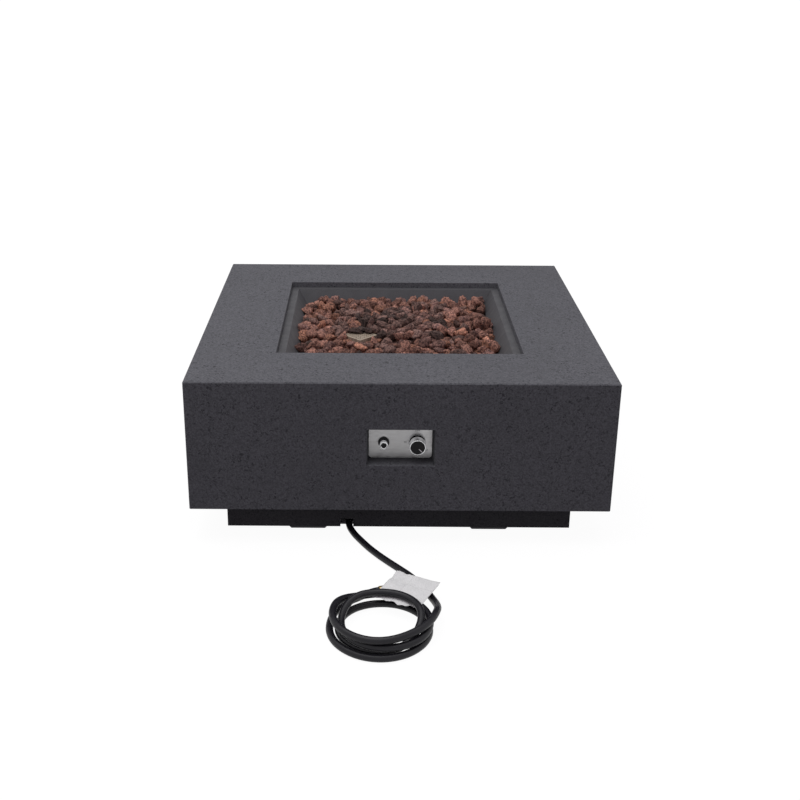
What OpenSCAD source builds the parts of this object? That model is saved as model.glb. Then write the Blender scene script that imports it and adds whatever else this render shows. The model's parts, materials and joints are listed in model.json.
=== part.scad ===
// Square concrete fire table with a gas burner, lava rock, a recessed control panel and a coiled gas hose.
// Origin on the floor under the middle of the table, +Z up, the control panel on the -Y side.

/* [Table body] */
// Width and depth of the square top
table_w = 785; // [700:1:900]
// Height of the block above the plinth
body_h = 254.5; // [230:0.5:320]
// Thickness of the side walls
body_wall = 18; // [14:1:24]
// Thickness of the top
top_t = 22; // [16:1:28]
// Bevel along the outer edges
edge_bevel = 2; // [1:0.5:4]
// Width of the square fire opening
opening_w = 474; // [440:1:500]
// Depth of the step that the pan's flange lies in
rebate_d = 13; // [9:0.5:18]
// Width of the ledge that carries the pan
ledge_w = 13; // [10:0.5:14]
// Thickness of the ledge
ledge_t = 30; // [24:1:36]
// Width of the rib around the opening, under the top
curb_w = 20; // [14:1:30]

/* [Base] */
// Width and depth of the plinth
plinth_w = 661; // [600:1:680]
// Height of the plinth under the block
plinth_h = 69; // [50:1:90]
// Thickness of the plinth's walls
plinth_wall = 18; // [14:1:24]
// Thickness of the plinth's outward flange
flange_t = 18; // [12:1:24]
// Place of the hose notch along the front, from the middle
notch_x = -100; // [-160:1:-60]
// Width of the hose notch
notch_w = 25; // [18:1:40]
// Height of the hose notch
notch_h = 16.5; // [15:0.5:30]
// Length of a foot pad
foot_l = 74; // [50:1:100]
// Depth of a foot pad
foot_d = 16; // [10:1:18]
// Thickness of a foot pad
foot_t = 4.5; // [3:0.5:8]
// Distance of each foot pad from the middle
foot_x = 175; // [120:1:250]
// Length of a lug inside the plinth, which takes a bracket's bolt
lug_l = 34; // [28:1:50]
// Height of a bracket's leg on the wall
bracket_l = 40; // [34:1:50]
// Width of a bracket
bracket_w = 50; // [40:1:80]
// Thickness of a bracket
bracket_t = 3; // [2:0.5:5]
// Distance of each bracket from the middle of its side
bracket_x = 220; // [150:1:260]

/* [Fire pan and burner] */
// Sheet thickness of the pan
pan_t = 1.5; // [1:0.1:2.5]
// Width of the pan's flange
pan_flange_w = 15; // [10:0.5:18]
// How far the pan's sloped sides run inwards
pan_slope_run = 20; // [12:1:30]
// How far the pan's sloped sides drop
pan_slope_drop = 30; // [20:1:40]
// Depth of the pan below its flange
pan_depth = 80; // [74:1:96]
// Radius of the burner ring
ring_r = 66; // [56:1:68]
// Radius of the ring's tube
ring_tube_r = 9.5; // [7:0.5:10]
// Wall of the burner's tubes
ring_wall = 1.5; // [1:0.1:2]
// Number of gas ports in the ring
port_count = 24; // [12:2:36]
// Diameter of a gas port
port_d = 3; // [1.5:0.1:4]
// Width of the heat shield
shield_w = 360; // [300:1:390]
// Height of the spacers between pan and heat shield
spacer_h = 20; // [14:1:30]
// Distance of the shield's studs from the middle
shield_stud_x = 150; // [120:1:165]

/* [Igniter guard and rock] */
// Place of the guard, from the middle
guard_pos = [-77, -74]; // [-140:1:140]
// Width of the square guard
guard_w = 50; // [48:1:54]
// Height of the guard above the pan's floor
guard_h = 72; // [60:1:76]
// Sheet thickness of the guard
guard_t = 1; // [0.8:0.1:1.5]
// Diameter of the guard's holes
mesh_hole_d = 3.6; // [2:0.1:4.5]
// Pitch of the guard's holes
mesh_pitch = 6; // [5:0.5:9]
// Stones along one side of the pan
rock_n = 12; // [9:1:14]

/* [Controls] */
// Width of the control recess at the front face
recess_w = 126; // [120:1:150]
// Height of the control recess at the front face
recess_h = 73; // [70:1:90]
// How much each side of the recess draws in towards the panel
recess_draft = 4; // [2:0.5:6]
// Depth of the recess down to the panel
recess_d = 27; // [26:0.5:34]
// Wall around the recess
recess_wall = 10; // [8:1:14]
// Thickness of the control panel
panel_t = 1.5; // [1:0.1:2.5]
// Radius of the panel's corners
panel_corner = 7; // [3:0.5:10]
// Distance of knob and igniter from the panel's middle
control_x = 31; // [27:0.5:34]
// Radius of the knob
knob_r = 14.5; // [12:0.5:16]
// Travel of the knob when it is pressed
knob_travel = 5; // [3:0.5:5]
// Radius of the ring on the panel around the knob
bezel_r = 15.8; // [15:0.1:18]
// Thickness of that ring
bezel_t = 2; // [1:0.5:3]
// Turn of the pointer from twelve o'clock, seen from the front
pointer_turn = 135; // [0:5:355]
// Radius of the igniter's cap
cap_r = 7.6; // [7:0.1:9]
// Length of the igniter's cap
cap_l = 14.5; // [12:0.5:18]
// Radius of the igniter's button
button_r = 5; // [4:0.1:5.5]
// Travel of the igniter's button
button_travel = 2.5; // [1.5:0.5:3]
// Distance from the panel to the valve
valve_gap = 31; // [26:1:40]
// Radius of the valve's barrel
barrel_r = 15; // [13:0.5:18]

/* [Hose] */
// Outer diameter of the hose
hose_d = 12.5; // [10:0.5:13.5]
// Radius of the coil
coil_r = 70; // [60:1:90]
// Gap between loops that lie on each other
coil_gap = 1.6; // [1.4:0.1:3]
// Width and length of the blank hose tag
tag_size = [84, 92]; // [60:1:94]

/* [Hidden] */
$fn = 64;

// Clearances: pieces that slip together, pieces that turn or slide in each other, screws in their holes
fit = 0.3;
running = 0.05;
screw_gap = 0.2;
eps = 1;
// Seam between the mitred strips of the pan's rim
rim_seam = 0.15;

// Colours
concrete = [0.36, 0.36, 0.38];
dark_concrete = [0.17, 0.17, 0.18];
grey_steel = [0.31, 0.31, 0.33];
steel = [0.62, 0.62, 0.63];
zinc = [0.7, 0.7, 0.68];
chrome = [0.85, 0.85, 0.87];
brass = [0.78, 0.62, 0.3];
copper = [0.72, 0.43, 0.28];
black = [0.06, 0.06, 0.06];
white = [0.93, 0.93, 0.92];
lava = [0.45, 0.27, 0.21];

// Heights
half_w = table_w / 2;
z_body = foot_t + plinth_h;
z_top = z_body + body_h;
z_ledge = z_top - rebate_d;
inner_half = half_w - body_wall;
flange_half = inner_half - fit;
plinth_half = plinth_w / 2;
plinth_inner = plinth_half - plinth_wall;
z_seat = z_body + flange_t;

// Heads and nuts, as multiples of their screw's radius
hex_k = 3.2;
head_k = 1.8;

// Base fasteners
lug_side = 6;
bolt_at = plinth_inner - lug_l / 2;
bracket_reach = inner_half - plinth_inner + lug_l - eps;
bolt_r = 4;
bolt_head_t = 4;
wall_screw_r = 3;
wall_screw_l = 12;
screw_head_r = 6;
screw_head_t = 3;
screw_rise = 24;
z_wall_screw = z_seat + screw_rise;

// Pan
pan_half = opening_w / 2 - eps;
z_flange = z_ledge + pan_t;
mouth_half = pan_half - pan_flange_w;
well_half = mouth_half - pan_slope_run;
z_rim = z_flange - pan_slope_drop;
z_floor = z_flange - pan_depth;
z_pan = z_floor - pan_t;
drain_d = 8;
drain_x = 175;
pilot_hole_r = 13;
stud_r = 2.5;
nut_t = 4;
z_shield = z_pan - spacer_h;
shield_t = 1;
shield_hole_r = 30;
shield_pilot_r = 17;
shield_stud_l = spacer_h + shield_t + nut_t + eps;

// Burner and mixer
burner_rise = 22;
burner_z = z_floor + burner_rise;
hub_r = 22;
hub_h = 32;
spoke_r = 7;
nipple_r = 10.5;
nipple_bore_r = 7.5;
nipple_l = 30;
locknut_af = 34;
locknut_t = 8;
mixer_r = 15;
mixer_l = 72;
mixer_top = z_pan - locknut_t - fit;
mixer_z = mixer_top - mixer_l;
z_nipple = z_pan - nipple_l;
throat_r = 9;
mixer_floor = 6;
air_hole_r = 6;
air_hole_rise = 13.2;
orifice_r = 5;
jet_r = 0.9;
orifice_l = 12;
jet_floor = 2;
orifice_hex = 17;
orifice_hex_t = 10;
z_orifice = mixer_z - orifice_hex_t;
gas_bore_r = 3.5;
elbow_r = 8;
elbow_h = 20;
spigot_r = 7;
spigot_l = 26;
elbow_drop = 12;
z_elbow = z_orifice - elbow_drop;

// Supply tube
tube_r = 4.75;
tube_straight = 0.1;
flare_af = 19;
flare_l = 18;
flare_grip = 9;

// Pilot group, inside the guard
pilot_plate = [44, 30, 2];
electrode_pos = [-7, -3];
thermo_pos = [7, 3];
electrode_r = 4;
thermo_r = 3;
collar_extra = 2;
collar_t = 3;
pilot_drop = 10;
electrode_l = 34;
tip_l = 14;
tip_r = 1.2;
thermo_l = 44;
wire_r = 1.75;
lead_r = 1.5;
pilot_screw_r = 2;
pilot_screw_x = 17;
lead_sag = 20;
wire_sag = 8;
lead_climb = 6;

// Rock
rock_gap = 0.25;
rock_pitch = 2 * (well_half - 2 * rock_gap) / rock_n;
rock_a = rock_pitch / 2 - rock_gap;
rock_layer = 2 * rock_a + rock_gap;
burner_keep = ring_r + ring_tube_r + rock_a + fit;
guard_room = 1.5;
guard_keep = guard_w / sqrt(2) + guard_room * rock_a;
stone_corner = [0.54, 0.66];

// Control recess and panel
recess_z = z_body + body_h / 2;
y_front = -half_w;
y_panel = y_front + recess_d;
y_back = y_panel + panel_t;
y_pocket = y_back + recess_wall;
back_w = recess_w - 2 * recess_draft;
back_h = recess_h - 2 * recess_draft;
panel_gap = 0.5;
panel_w = back_w - 2 * panel_gap;
panel_h = back_h - 2 * panel_gap;
window_w = 92;
window_h = 46;
panel_stud_r = 2;
stud_inset = 6;
panel_stud = [panel_w / 2 - stud_inset, panel_h / 2 - stud_inset];
small_nut_af = 7;
small_nut_t = 3.2;
hood_t = 1;
hood_w = 124;
hood_h = 78;
hood_l = 92;
panel_stud_l = recess_wall + hood_t + small_nut_t + eps;
valve_stud_z = 18;

// Valve
bonnet_t = 3;
y_bonnet = y_back + valve_gap;
y_valve = y_bonnet + bonnet_t;
barrel_l = 45;
plug_r = 9;
plug_l = 37;
magnet_r = 11;
magnet_l = 22;
magnet_bore_r = 5;
inlet_y = 30;
inlet_r = 9;
inlet_l = 30;
riser_r = 8;
riser_h = 29;
outlet_z = 21;
outlet_l = 30;
bonnet_w = 26;
bonnet_h = 48;
bonnet_screw_x = 10;
bonnet_screw_z = 7;
small_screw_r = 1.5;
small_screw_l = 8;
thermo_nut_r = 6;
thermo_nut_l = 10;
y_magnet = y_valve + barrel_l + magnet_l;

// Stem and knob
stem_r = 3;
stem_side = 4.2;
collar_r = 6.5;
collar_gap = 7;
y_collar = y_back + collar_gap;
collar_l = 2;
spring_wire = 1;
stem_coils = 6;
igniter_coils = 5;
stem_hole_r = 4;
knob_lift = 0.7;
pointer_t = 0.4;
pointer_l = 8.5;
pointer_w = 1.4;
pointer_from = 3.5;
y_cap_front = y_front + knob_lift;
knob_rim = 1.5;
cap_t = 4.4;
cap_proud = 1.2;
knob_gap = 1;
y_knob_back = y_panel - bezel_t - knob_travel - knob_gap;
knob_hollow_r = 12.5;
knob_web = 5;
knob_hub_r = 5.5;
y_rim = y_cap_front + cap_proud;
y_web = y_cap_front + cap_t;

// Igniter
ign_flange_r = 10.4;
ign_flange_t = 2.5;
ign_barrel_r = 7.6;
ign_barrel_l = 52;
ign_nut_af = 22;
ign_nut_t = 4;
battery_r = 5.2;
battery_l = 44;
battery_gap = 0.15;
y_ign = y_panel - ign_flange_t;
y_ign_cap = y_ign - cap_l;
button_sunk = 0.5;
button_l = 7;
y_button = y_ign_cap + button_sunk;
terminal = [4.8, 9, 0.8];
terminal_x = 4;

// Hose: the inside end hangs from the valve's inlet, the far end lies behind the coil
hose_r = hose_d / 2;
nut_af = 19;
inlet_nut_af = 23;
inlet_nut_l = 20;
ferrule_r = 7.6;
ferrule_l = 30;
socket_l = 18;
z_inlet = recess_z - inlet_l;
z_ferrule = z_inlet - inlet_nut_l;
z_hose = z_ferrule - ferrule_l + socket_l;
// The free stretch, from the valve out through the notch and over the floor to the coil
lead_route = [
    [31, -300, 120], [28, -294, 95], [18, -281, 73], [-2, -266, 54], [-28, -256, 41], [-54, -256, 32],
    [-78, -267, 25], [-93, -289, 19.5], [-97, -316, 13.4], [-94, -342, 10.5], [-85, -366, 8.5], [-72, -389, 6.8],
    [-57, -415, 6.4], [-40.5, -440, 6.4], [-22.5, -464, 6.4], [-4, -487.5, 6.6], [14, -512, 7.4],
    [28, -537, 9], [38, -560.5, 11.8]];

// Coil: loops run clockwise, the first over the second at the front, the second over the first at the back,
// then two on the floor round each other, of which the last swings out behind
coil_centre = [-39, -672];
coil_from_deg = 41;
coil_turn_deg = 1390;
coil_step_deg = 15;
coil_rise_from_k = 0.6;
coil_rise_deg = 45;
sink_from_deg = 235;
sink_deg = 60;
climb_from_deg = 560;
climb_deg = 85;
fall_from_deg = 740;
fall_deg = 100;
// How far the coil runs outside its radius, at every eighth of a turn
wander = [
    0, 0, 3, 10.8, 9.5, 7.5, 7, 7, 9, 13, 14, 8.8, 0.5, -7.2, -8.6, -10, -5.5, -1.5, -1.5, 0.5, -0.5,
    -2, -2.5, -1, 5, 12, 15.5, 17.5, 15, 12.4, 10.5, 3.7, 0];
wander_from_deg = -4;
wander_step_deg = 45;
lead_reach = 48;
lead_swing_deg = 130;
tail_reach = 28;
tail_swing_deg = 95;
tail_lift_deg = 25;
end_axis_z = 11.3;
end_ferrule_l = 20.5;
end_socket_l = 10.5;
tail_r = 6;
tail_l = 8.3;
flare_r = 7.2;
flare_head_l = 6;
flare_tip_r = 4;
end_nut_l = 22;
end_nut_wall = 6;
end_nut_from = 22.5;
thread_r = 7.94;
chamber_r = 7.6;
chamber_l = 8;
tag_t = 0.4;
tag_pos = [8, -593];
tag_turn = -28;
tag_tilt = 1;
tag_z = 27.35;

// Vectors and tubes
function unit(v) = v / norm(v);
function ease(t) = let (c = min(max(t, 0), 1)) c * c * (3 - 2 * c);
function level_out(v, t) = unit(v - (v * t) * t);
function tangents(p, first, last) = [for (i = [0 : len(p) - 1])
    i == 0 ? first : i == len(p) - 1 ? last : unit(p[i + 1] - p[i - 1])];
function normals(t, ref) = [for (i = 0, n = level_out(ref, t[0]); i < len(t);
    i = i + 1, n = i < len(t) ? level_out(n, t[i]) : n) n];
function side_faces(i, sides) = [for (j = [0 : sides - 1])
    let (k = (j + 1) % sides, a = i * sides, b = a + sides)
    each [[a + j, b + j, b + k], [a + j, b + k, a + k]]];

// A tube of flat-sided rings along the points p, square to the directions first and last at its ends
module swept_tube(p, r, sides, first, last, ref) {
    t = tangents(p, first, last);
    n = normals(t, ref);
    rings = len(p);
    points = [for (i = [0 : rings - 1], j = [0 : sides - 1])
        let (b = cross(t[i], n[i]), a = 360 * j / sides) p[i] + r * (cos(a) * n[i] + sin(a) * b)];
    start_cap = [for (j = [1 : sides - 2]) [0, j, j + 1]];
    base = (rings - 1) * sides;
    end_cap = [for (j = [1 : sides - 2]) [base, base + j + 1, base + j]];
    walls = [for (i = [0 : rings - 2]) each side_faces(i, sides)];
    polyhedron(points, concat(start_cap, walls, end_cap), convexity = 10);
}

// The coil's route: angle u in degrees from its first point, levels counted in hoses that lie on each other
function coil_level(u) = coil_rise_from_k + (2 - coil_rise_from_k) * ease(u / coil_rise_deg)
    - ease((u - sink_from_deg) / sink_deg) + ease((u - climb_from_deg) / climb_deg)
    - 2 * ease((u - fall_from_deg) / fall_deg);
function coil_height(u) = hose_r + (hose_d + coil_gap) * coil_level(u)
    + (end_axis_z - hose_r) * ease((u - coil_turn_deg + tail_lift_deg) / tail_lift_deg);
function wander_key(i) = wander[min(max(i, 0), len(wander) - 1)];
function wander_at(u) =
    let (s = (u - wander_from_deg) / wander_step_deg, i = floor(s), f = s - i)
    let (a = wander_key(i - 1), b = wander_key(i), c = wander_key(i + 1), d = wander_key(i + 2))
    b + f * ((c - a) / 2 + f * (a - 2.5 * b + 2 * c - d / 2 + f * (1.5 * (b - c) + (d - a) / 2)));
function coil_radius(u) = coil_r + wander_at(u)
    + lead_reach * pow(max(1 - u / lead_swing_deg, 0), 2)
    + tail_reach * pow(max((u - coil_turn_deg + tail_swing_deg) / tail_swing_deg, 0), 2);
function coil_point(u) =
    let (a = coil_from_deg - u, r = coil_radius(u))
    [coil_centre[0] + r * cos(a), coil_centre[1] + r * sin(a), coil_height(u)];
function flat_dir(a, b) = unit([b[0] - a[0], b[1] - a[1], 0]);
coil_start_dir = unit(coil_point(1) - coil_point(0));
coil_end_dir = flat_dir(coil_point(coil_turn_deg - 2), coil_point(coil_turn_deg));
coil_start = coil_point(0) - hose_d * coil_start_dir;
coil_end = [coil_point(coil_turn_deg)[0], coil_point(coil_turn_deg)[1], end_axis_z];
hose_end = coil_end + hose_d * coil_end_dir;
coil_steps = floor(coil_turn_deg / coil_step_deg);
coil_route = concat([coil_start], [for (i = [0 : coil_steps - 1]) coil_point(i * coil_step_deg)],
    [coil_end, hose_end]);
end_yaw = atan2(coil_end_dir[1], coil_end_dir[0]);

// Least gap of the coil to itself, measured between points that lie more than a quarter turn apart
gap_step_deg = 5;
gap_points = [for (u = [0 : gap_step_deg : coil_turn_deg]) coil_point(u)];
gap_skip = 90 / gap_step_deg;
coil_self_gap = min([for (i = [0 : len(gap_points) - 1], j = [i + gap_skip : 1 : len(gap_points) - 1])
    if (j < len(gap_points)) norm(gap_points[i] - gap_points[j])]) - hose_d;
echo(coil_self_gap = coil_self_gap);

// Shared shapes
module slab(w, z0, z1) translate([-w / 2, -w / 2, z0]) cube([w, w, z1 - z0]);

module y_rod(x, z, y0, y1, r) translate([x, y0, z]) rotate([-90, 0, 0]) cylinder(r = r, h = y1 - y0);

module y_hex(x, z, y0, y1, af) translate([x, y0, z]) rotate([-90, 0, 0]) hex(af, y1 - y0);

module y_bar(x, z, y0, y1, side) translate([x - side / 2, y0, z - side / 2]) cube([side, y1 - y0, side]);

module hex(af, h) cylinder(d = af / cos(30), h = h, $fn = 6);

module tube(r, bore, z0, z1) translate([0, 0, z0]) difference() {
    cylinder(r = r, h = z1 - z0);
    translate([0, 0, -eps]) cylinder(r = bore, h = z1 - z0 + 2 * eps);
}

// A square funnel between two half widths
module funnel(z0, half0, z1, half1) intersection_for(turn = [0, 90]) rotate([90, 0, turn])
    linear_extrude(2 * max(half0, half1) + 2 * eps, center = true)
        polygon([[-half0, z0], [half0, z0], [half1, z1], [-half1, z1]]);

module bevelled_square(w, bevel) polygon([
    [-w / 2 + bevel, -w / 2], [w / 2 - bevel, -w / 2], [w / 2, -w / 2 + bevel], [w / 2, w / 2 - bevel],
    [w / 2 - bevel, w / 2], [-w / 2 + bevel, w / 2], [-w / 2, w / 2 - bevel], [-w / 2, -w / 2 + bevel]]);

module at_corners(x, y) for (sx = [-1, 1], sy = [-1, 1]) translate([sx * x, sy * y, 0]) children();

// Each side of the table in turn, the child drawn for the front
module at_sides() for (turn = [0 : 90 : 270], s = [-1, 1])
    rotate(turn) translate([s * bracket_x, 0, 0]) children();

// A coil spring along Y between y0 and y1
module y_spring(x, z, y0, y1, r, wire, turns) {
    steps = turns * 8;
    path = [for (i = [0 : steps]) let (a = 360 * i / 8)
        [x + r * cos(a), y0 + wire / 2 + (y1 - y0 - wire) * i / steps, z + r * sin(a)]];
    swept_tube(path, wire / 2, 6, unit(path[1] - path[0]), unit(path[steps] - path[steps - 1]), [0, 1, 0]);
}

// Table body and base
module recess_cut() {
    depth = recess_d + panel_t;
    out = eps * recess_draft / depth;
    translate([0, y_front, recess_z]) intersection() {
        linear_extrude(2 * recess_h, center = true) polygon([
            [-recess_w / 2 - out, -eps], [recess_w / 2 + out, -eps],
            [back_w / 2, depth], [-back_w / 2, depth]]);
        rotate([90, 0, 90]) linear_extrude(2 * recess_w, center = true) polygon([
            [-eps, -recess_h / 2 - out], [depth, -back_h / 2],
            [depth, back_h / 2], [-eps, recess_h / 2 + out]]);
    }
}

module panel_stud_holes(y0, y1, r) for (sx = [-1, 1], sz = [-1, 1])
    y_rod(sx * panel_stud[0], recess_z + sz * panel_stud[1], y0, y1, r);

module table_body() color(concrete) difference() {
    union() {
        difference() {
            intersection() {
                translate([0, 0, z_body]) linear_extrude(body_h) bevelled_square(table_w, edge_bevel);
                funnel(z_body, half_w - edge_bevel + body_h, z_top, half_w - edge_bevel);
            }
            slab(2 * inner_half, z_body - eps, z_top - top_t);
        }
        slab(opening_w + 2 * curb_w, z_ledge - ledge_t, z_top - top_t + eps);
        translate([-back_w / 2 - recess_wall, y_front + body_wall - eps,
            recess_z - back_h / 2 - recess_wall])
            cube([back_w + 2 * recess_wall, y_pocket - y_front - body_wall + eps, back_h + 2 * recess_wall]);
    }
    slab(opening_w, z_ledge, z_top + eps);
    slab(opening_w - 2 * ledge_w, z_ledge - ledge_t - eps, z_top);
    recess_cut();
    translate([-window_w / 2, y_back - eps, recess_z - window_h / 2])
        cube([window_w, recess_wall + 2 * eps, window_h]);
    panel_stud_holes(y_back - eps, y_pocket + eps, panel_stud_r + screw_gap);
    at_sides() y_rod(0, z_wall_screw, -inner_half - wall_screw_l, -inner_half + eps,
        wall_screw_r + screw_gap);
}

module base_plinth() color(dark_concrete) difference() {
    union() {
        slab(plinth_w, foot_t, z_body + eps);
        slab(2 * flange_half, z_body, z_seat);
    }
    difference() {
        slab(2 * plinth_inner, foot_t - eps, z_seat + eps);
        at_sides() translate([-bracket_w / 2 - lug_side, -plinth_inner - eps, z_body])
            cube([bracket_w + 2 * lug_side, lug_l + eps, flange_t]);
    }
    translate([notch_x - notch_w / 2, -plinth_half - eps, foot_t - eps])
        cube([notch_w, plinth_wall + 2 * eps, notch_h + eps]);
    at_sides() translate([0, -bolt_at, z_body - eps])
        cylinder(r = bolt_r + screw_gap, h = flange_t + 2 * eps);
}

module foot_pads() color(black) for (sx = [-1, 1], sy = [-1, 1])
    translate([sx * foot_x, sy * (plinth_half - plinth_wall / 2) + foot_d / 2, 0]) rotate([90, 0, 0])
        linear_extrude(foot_d) polygon([
            [-foot_l / 2 + foot_t, 0], [foot_l / 2 - foot_t, 0],
            [foot_l / 2, foot_t], [-foot_l / 2, foot_t]]);

module corner_brackets() color(zinc) at_sides() difference() {
    translate([-bracket_w / 2, -inner_half, z_seat]) union() {
        cube([bracket_w, bracket_reach, bracket_t]);
        cube([bracket_w, bracket_t, bracket_l]);
    }
    translate([0, -bolt_at, z_seat - eps]) cylinder(r = bolt_r + screw_gap, h = bracket_t + 2 * eps);
    y_rod(0, z_wall_screw, -inner_half - eps, -inner_half + bracket_t + eps, wall_screw_r + screw_gap);
}

module wall_screws() color(zinc) at_sides() {
    y_rod(0, z_wall_screw, -inner_half - wall_screw_l + eps, -inner_half + bracket_t + eps, wall_screw_r);
    y_rod(0, z_wall_screw, -inner_half + bracket_t, -inner_half + bracket_t + screw_head_t, screw_head_r);
}

module base_bolts() color(zinc) at_sides() translate([0, -bolt_at, z_body - bolt_head_t]) {
    hex(hex_k * bolt_r, bolt_head_t);
    cylinder(r = bolt_r, h = bolt_head_t + flange_t + bracket_t + nut_t + eps);
}

module base_nuts() color(zinc) at_sides() translate([0, -bolt_at, z_seat + bracket_t]) difference() {
    hex(hex_k * bolt_r, nut_t);
    translate([0, 0, -eps]) cylinder(r = bolt_r + running, h = nut_t + 2 * eps);
}

// Fire pan, heat shield, burner and gas mixer
module fire_pan() color(grey_steel) difference() {
    union() {
        slab(2 * (well_half + pan_t), z_pan, z_rim);
        at_corners(shield_stud_x, shield_stud_x) translate([0, 0, z_pan - shield_stud_l])
            cylinder(r = stud_r, h = shield_stud_l + pan_t / 2);
    }
    slab(2 * well_half, z_floor, z_rim + eps);
    translate([0, 0, z_pan - eps]) cylinder(r = nipple_r + fit, h = pan_t + 2 * eps);
    translate([guard_pos[0], guard_pos[1], z_pan - eps]) {
        cylinder(r = pilot_hole_r, h = pan_t + 2 * eps);
        pilot_screw_places() cylinder(r = pilot_screw_r + screw_gap, h = pan_t + 2 * eps);
    }
    at_corners(drain_x, drain_x) translate([0, 0, z_pan - eps]) cylinder(d = drain_d, h = pan_t + 2 * eps);
}

// Four folded strips, mitred and tacked to the pan's edge: the slope and the flange that lies on the ledge
module pan_rim() color(grey_steel) for (turn = [0 : 90 : 270]) rotate(turn) intersection() {
    rotate([90, 0, 90]) linear_extrude(2 * pan_half, center = true) polygon([
        [well_half, z_rim], [mouth_half, z_flange], [pan_half, z_flange], [pan_half, z_ledge],
        [mouth_half + pan_t * (1 - pan_slope_run / pan_slope_drop), z_ledge], [well_half + pan_t, z_rim]]);
    translate([0, rim_seam, z_pan]) linear_extrude(2 * pan_depth)
        polygon([[0, 0], [pan_half, pan_half], [-pan_half, pan_half]]);
}

module heat_shield() color(zinc) difference() {
    slab(shield_w, z_shield - shield_t, z_shield);
    translate([0, 0, z_shield - shield_t - eps]) {
        cylinder(r = shield_hole_r, h = shield_t + 2 * eps);
        translate([guard_pos[0], guard_pos[1], 0]) cylinder(r = shield_pilot_r, h = shield_t + 2 * eps);
        at_corners(shield_stud_x, shield_stud_x) cylinder(r = stud_r + screw_gap, h = shield_t + 2 * eps);
    }
}

module shield_spacers() color(zinc) at_corners(shield_stud_x, shield_stud_x)
    tube(2 * stud_r, stud_r + screw_gap, z_shield, z_pan);

module shield_nuts() color(zinc) at_corners(shield_stud_x, shield_stud_x)
    translate([0, 0, z_shield - shield_t - nut_t]) difference() {
        hex(hex_k * stud_r, nut_t);
        translate([0, 0, -eps]) cylinder(r = stud_r + running, h = nut_t + 2 * eps);
    }

module spokes(r) for (a = [0 : 90 : 270]) rotate(a) translate([0, 0, burner_z]) rotate([0, 90, 0])
    cylinder(r = r, h = ring_r);

module burner() color(steel) difference() {
    union() {
        translate([0, 0, burner_z]) rotate_extrude() translate([ring_r, 0]) circle(r = ring_tube_r);
        spokes(spoke_r);
        translate([0, 0, z_floor]) cylinder(r = hub_r, h = hub_h);
        translate([0, 0, z_nipple]) cylinder(r = nipple_r, h = nipple_l + pan_t + eps);
    }
    translate([0, 0, burner_z]) rotate_extrude() translate([ring_r, 0]) circle(r = ring_tube_r - ring_wall);
    spokes(spoke_r - ring_wall);
    translate([0, 0, z_nipple - eps]) cylinder(r = nipple_bore_r, h = burner_z + spoke_r - z_nipple + eps);
    for (i = [0 : port_count - 1]) rotate(360 * (i + 0.5) / port_count) translate([ring_r, 0, burner_z])
        cylinder(d = port_d, h = ring_tube_r + eps, $fn = 24);
}

module burner_locknut() color(brass) translate([0, 0, z_pan - locknut_t]) difference() {
    hex(locknut_af, locknut_t);
    translate([0, 0, -eps]) cylinder(r = nipple_r + running, h = locknut_t + 2 * eps);
}

module air_mixer() color(zinc) difference() {
    translate([0, 0, mixer_z]) cylinder(r = mixer_r, h = mixer_l);
    translate([0, 0, z_nipple]) cylinder(r = nipple_r + running, h = nipple_l);
    translate([0, 0, mixer_z + mixer_floor]) cylinder(r = throat_r, h = mixer_l);
    translate([0, 0, mixer_z - eps]) cylinder(r = orifice_r + running, h = mixer_floor + 2 * eps);
    for (turn = [0, 90]) translate([0, 0, mixer_z + mixer_floor + air_hole_rise]) rotate([90, 0, turn])
        cylinder(r = air_hole_r, h = 2 * mixer_r + 2 * eps, center = true);
}

module gas_orifice() color(brass) difference() {
    union() {
        translate([0, 0, z_orifice]) hex(orifice_hex, orifice_hex_t);
        translate([0, 0, z_orifice]) cylinder(r = orifice_r, h = orifice_hex_t + orifice_l);
    }
    translate([0, 0, z_orifice - eps])
        cylinder(r = gas_bore_r, h = orifice_hex_t + orifice_l - jet_floor + eps);
    translate([0, 0, z_orifice]) cylinder(r = jet_r, h = orifice_hex_t + orifice_l + eps, $fn = 24);
}

module supply_elbow() color(brass) difference() {
    union() {
        translate([0, 0, z_orifice - elbow_h]) cylinder(r = elbow_r, h = elbow_h);
        y_rod(0, z_elbow, -spigot_l, 0, spigot_r);
    }
    translate([0, 0, z_elbow]) cylinder(r = gas_bore_r, h = elbow_h);
    y_rod(0, z_elbow, -spigot_l - eps, 0, gas_bore_r);
}

// Ends of the supply tube: the valve's outlet and the elbow under the burner
y_outlet = y_valve + inlet_y + outlet_l;
z_outlet = recess_z + outlet_z;
supply_route = let (drop = z_outlet - z_elbow, run = -spigot_l - y_outlet)
    [for (f = [0, 0.05, 0.1, 0.15, 0.2, 0.3, 0.4, 0.5, 0.6, 0.7, 0.8, 0.85, 0.9, 0.95, 1])
        let (g = ease((f - tube_straight) / (1 - 2 * tube_straight)))
        [control_x * (1 - g), y_outlet + run * f, z_outlet - drop * g]];

module supply_tube() color(steel) swept_tube(supply_route, tube_r, 12, [0, 1, 0], [0, 1, 0], [0, 0, 1]);

module flare_nut() difference() {
    hex(flare_af, flare_l);
    translate([0, 0, -eps]) cylinder(r = spigot_r + running, h = flare_grip + eps);
    cylinder(r = tube_r + screw_gap, h = flare_l + eps);
}

module flare_nuts() color(brass) {
    translate([control_x, y_outlet - flare_grip, z_outlet]) rotate([-90, 0, 0]) flare_nut();
    translate([0, -spigot_l + flare_grip, z_elbow]) rotate([90, 0, 0]) flare_nut();
}

// Guard, pilot group and the two leads that run to the controls
module pilot_screw_places() rotate(45) for (s = [-1, 1]) translate([s * pilot_screw_x, 0, 0]) children();

module mesh_row(count) for (i = [0 : count - 1])
    translate([(i - (count - 1) / 2) * mesh_pitch, 0, 0]) children();

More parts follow.
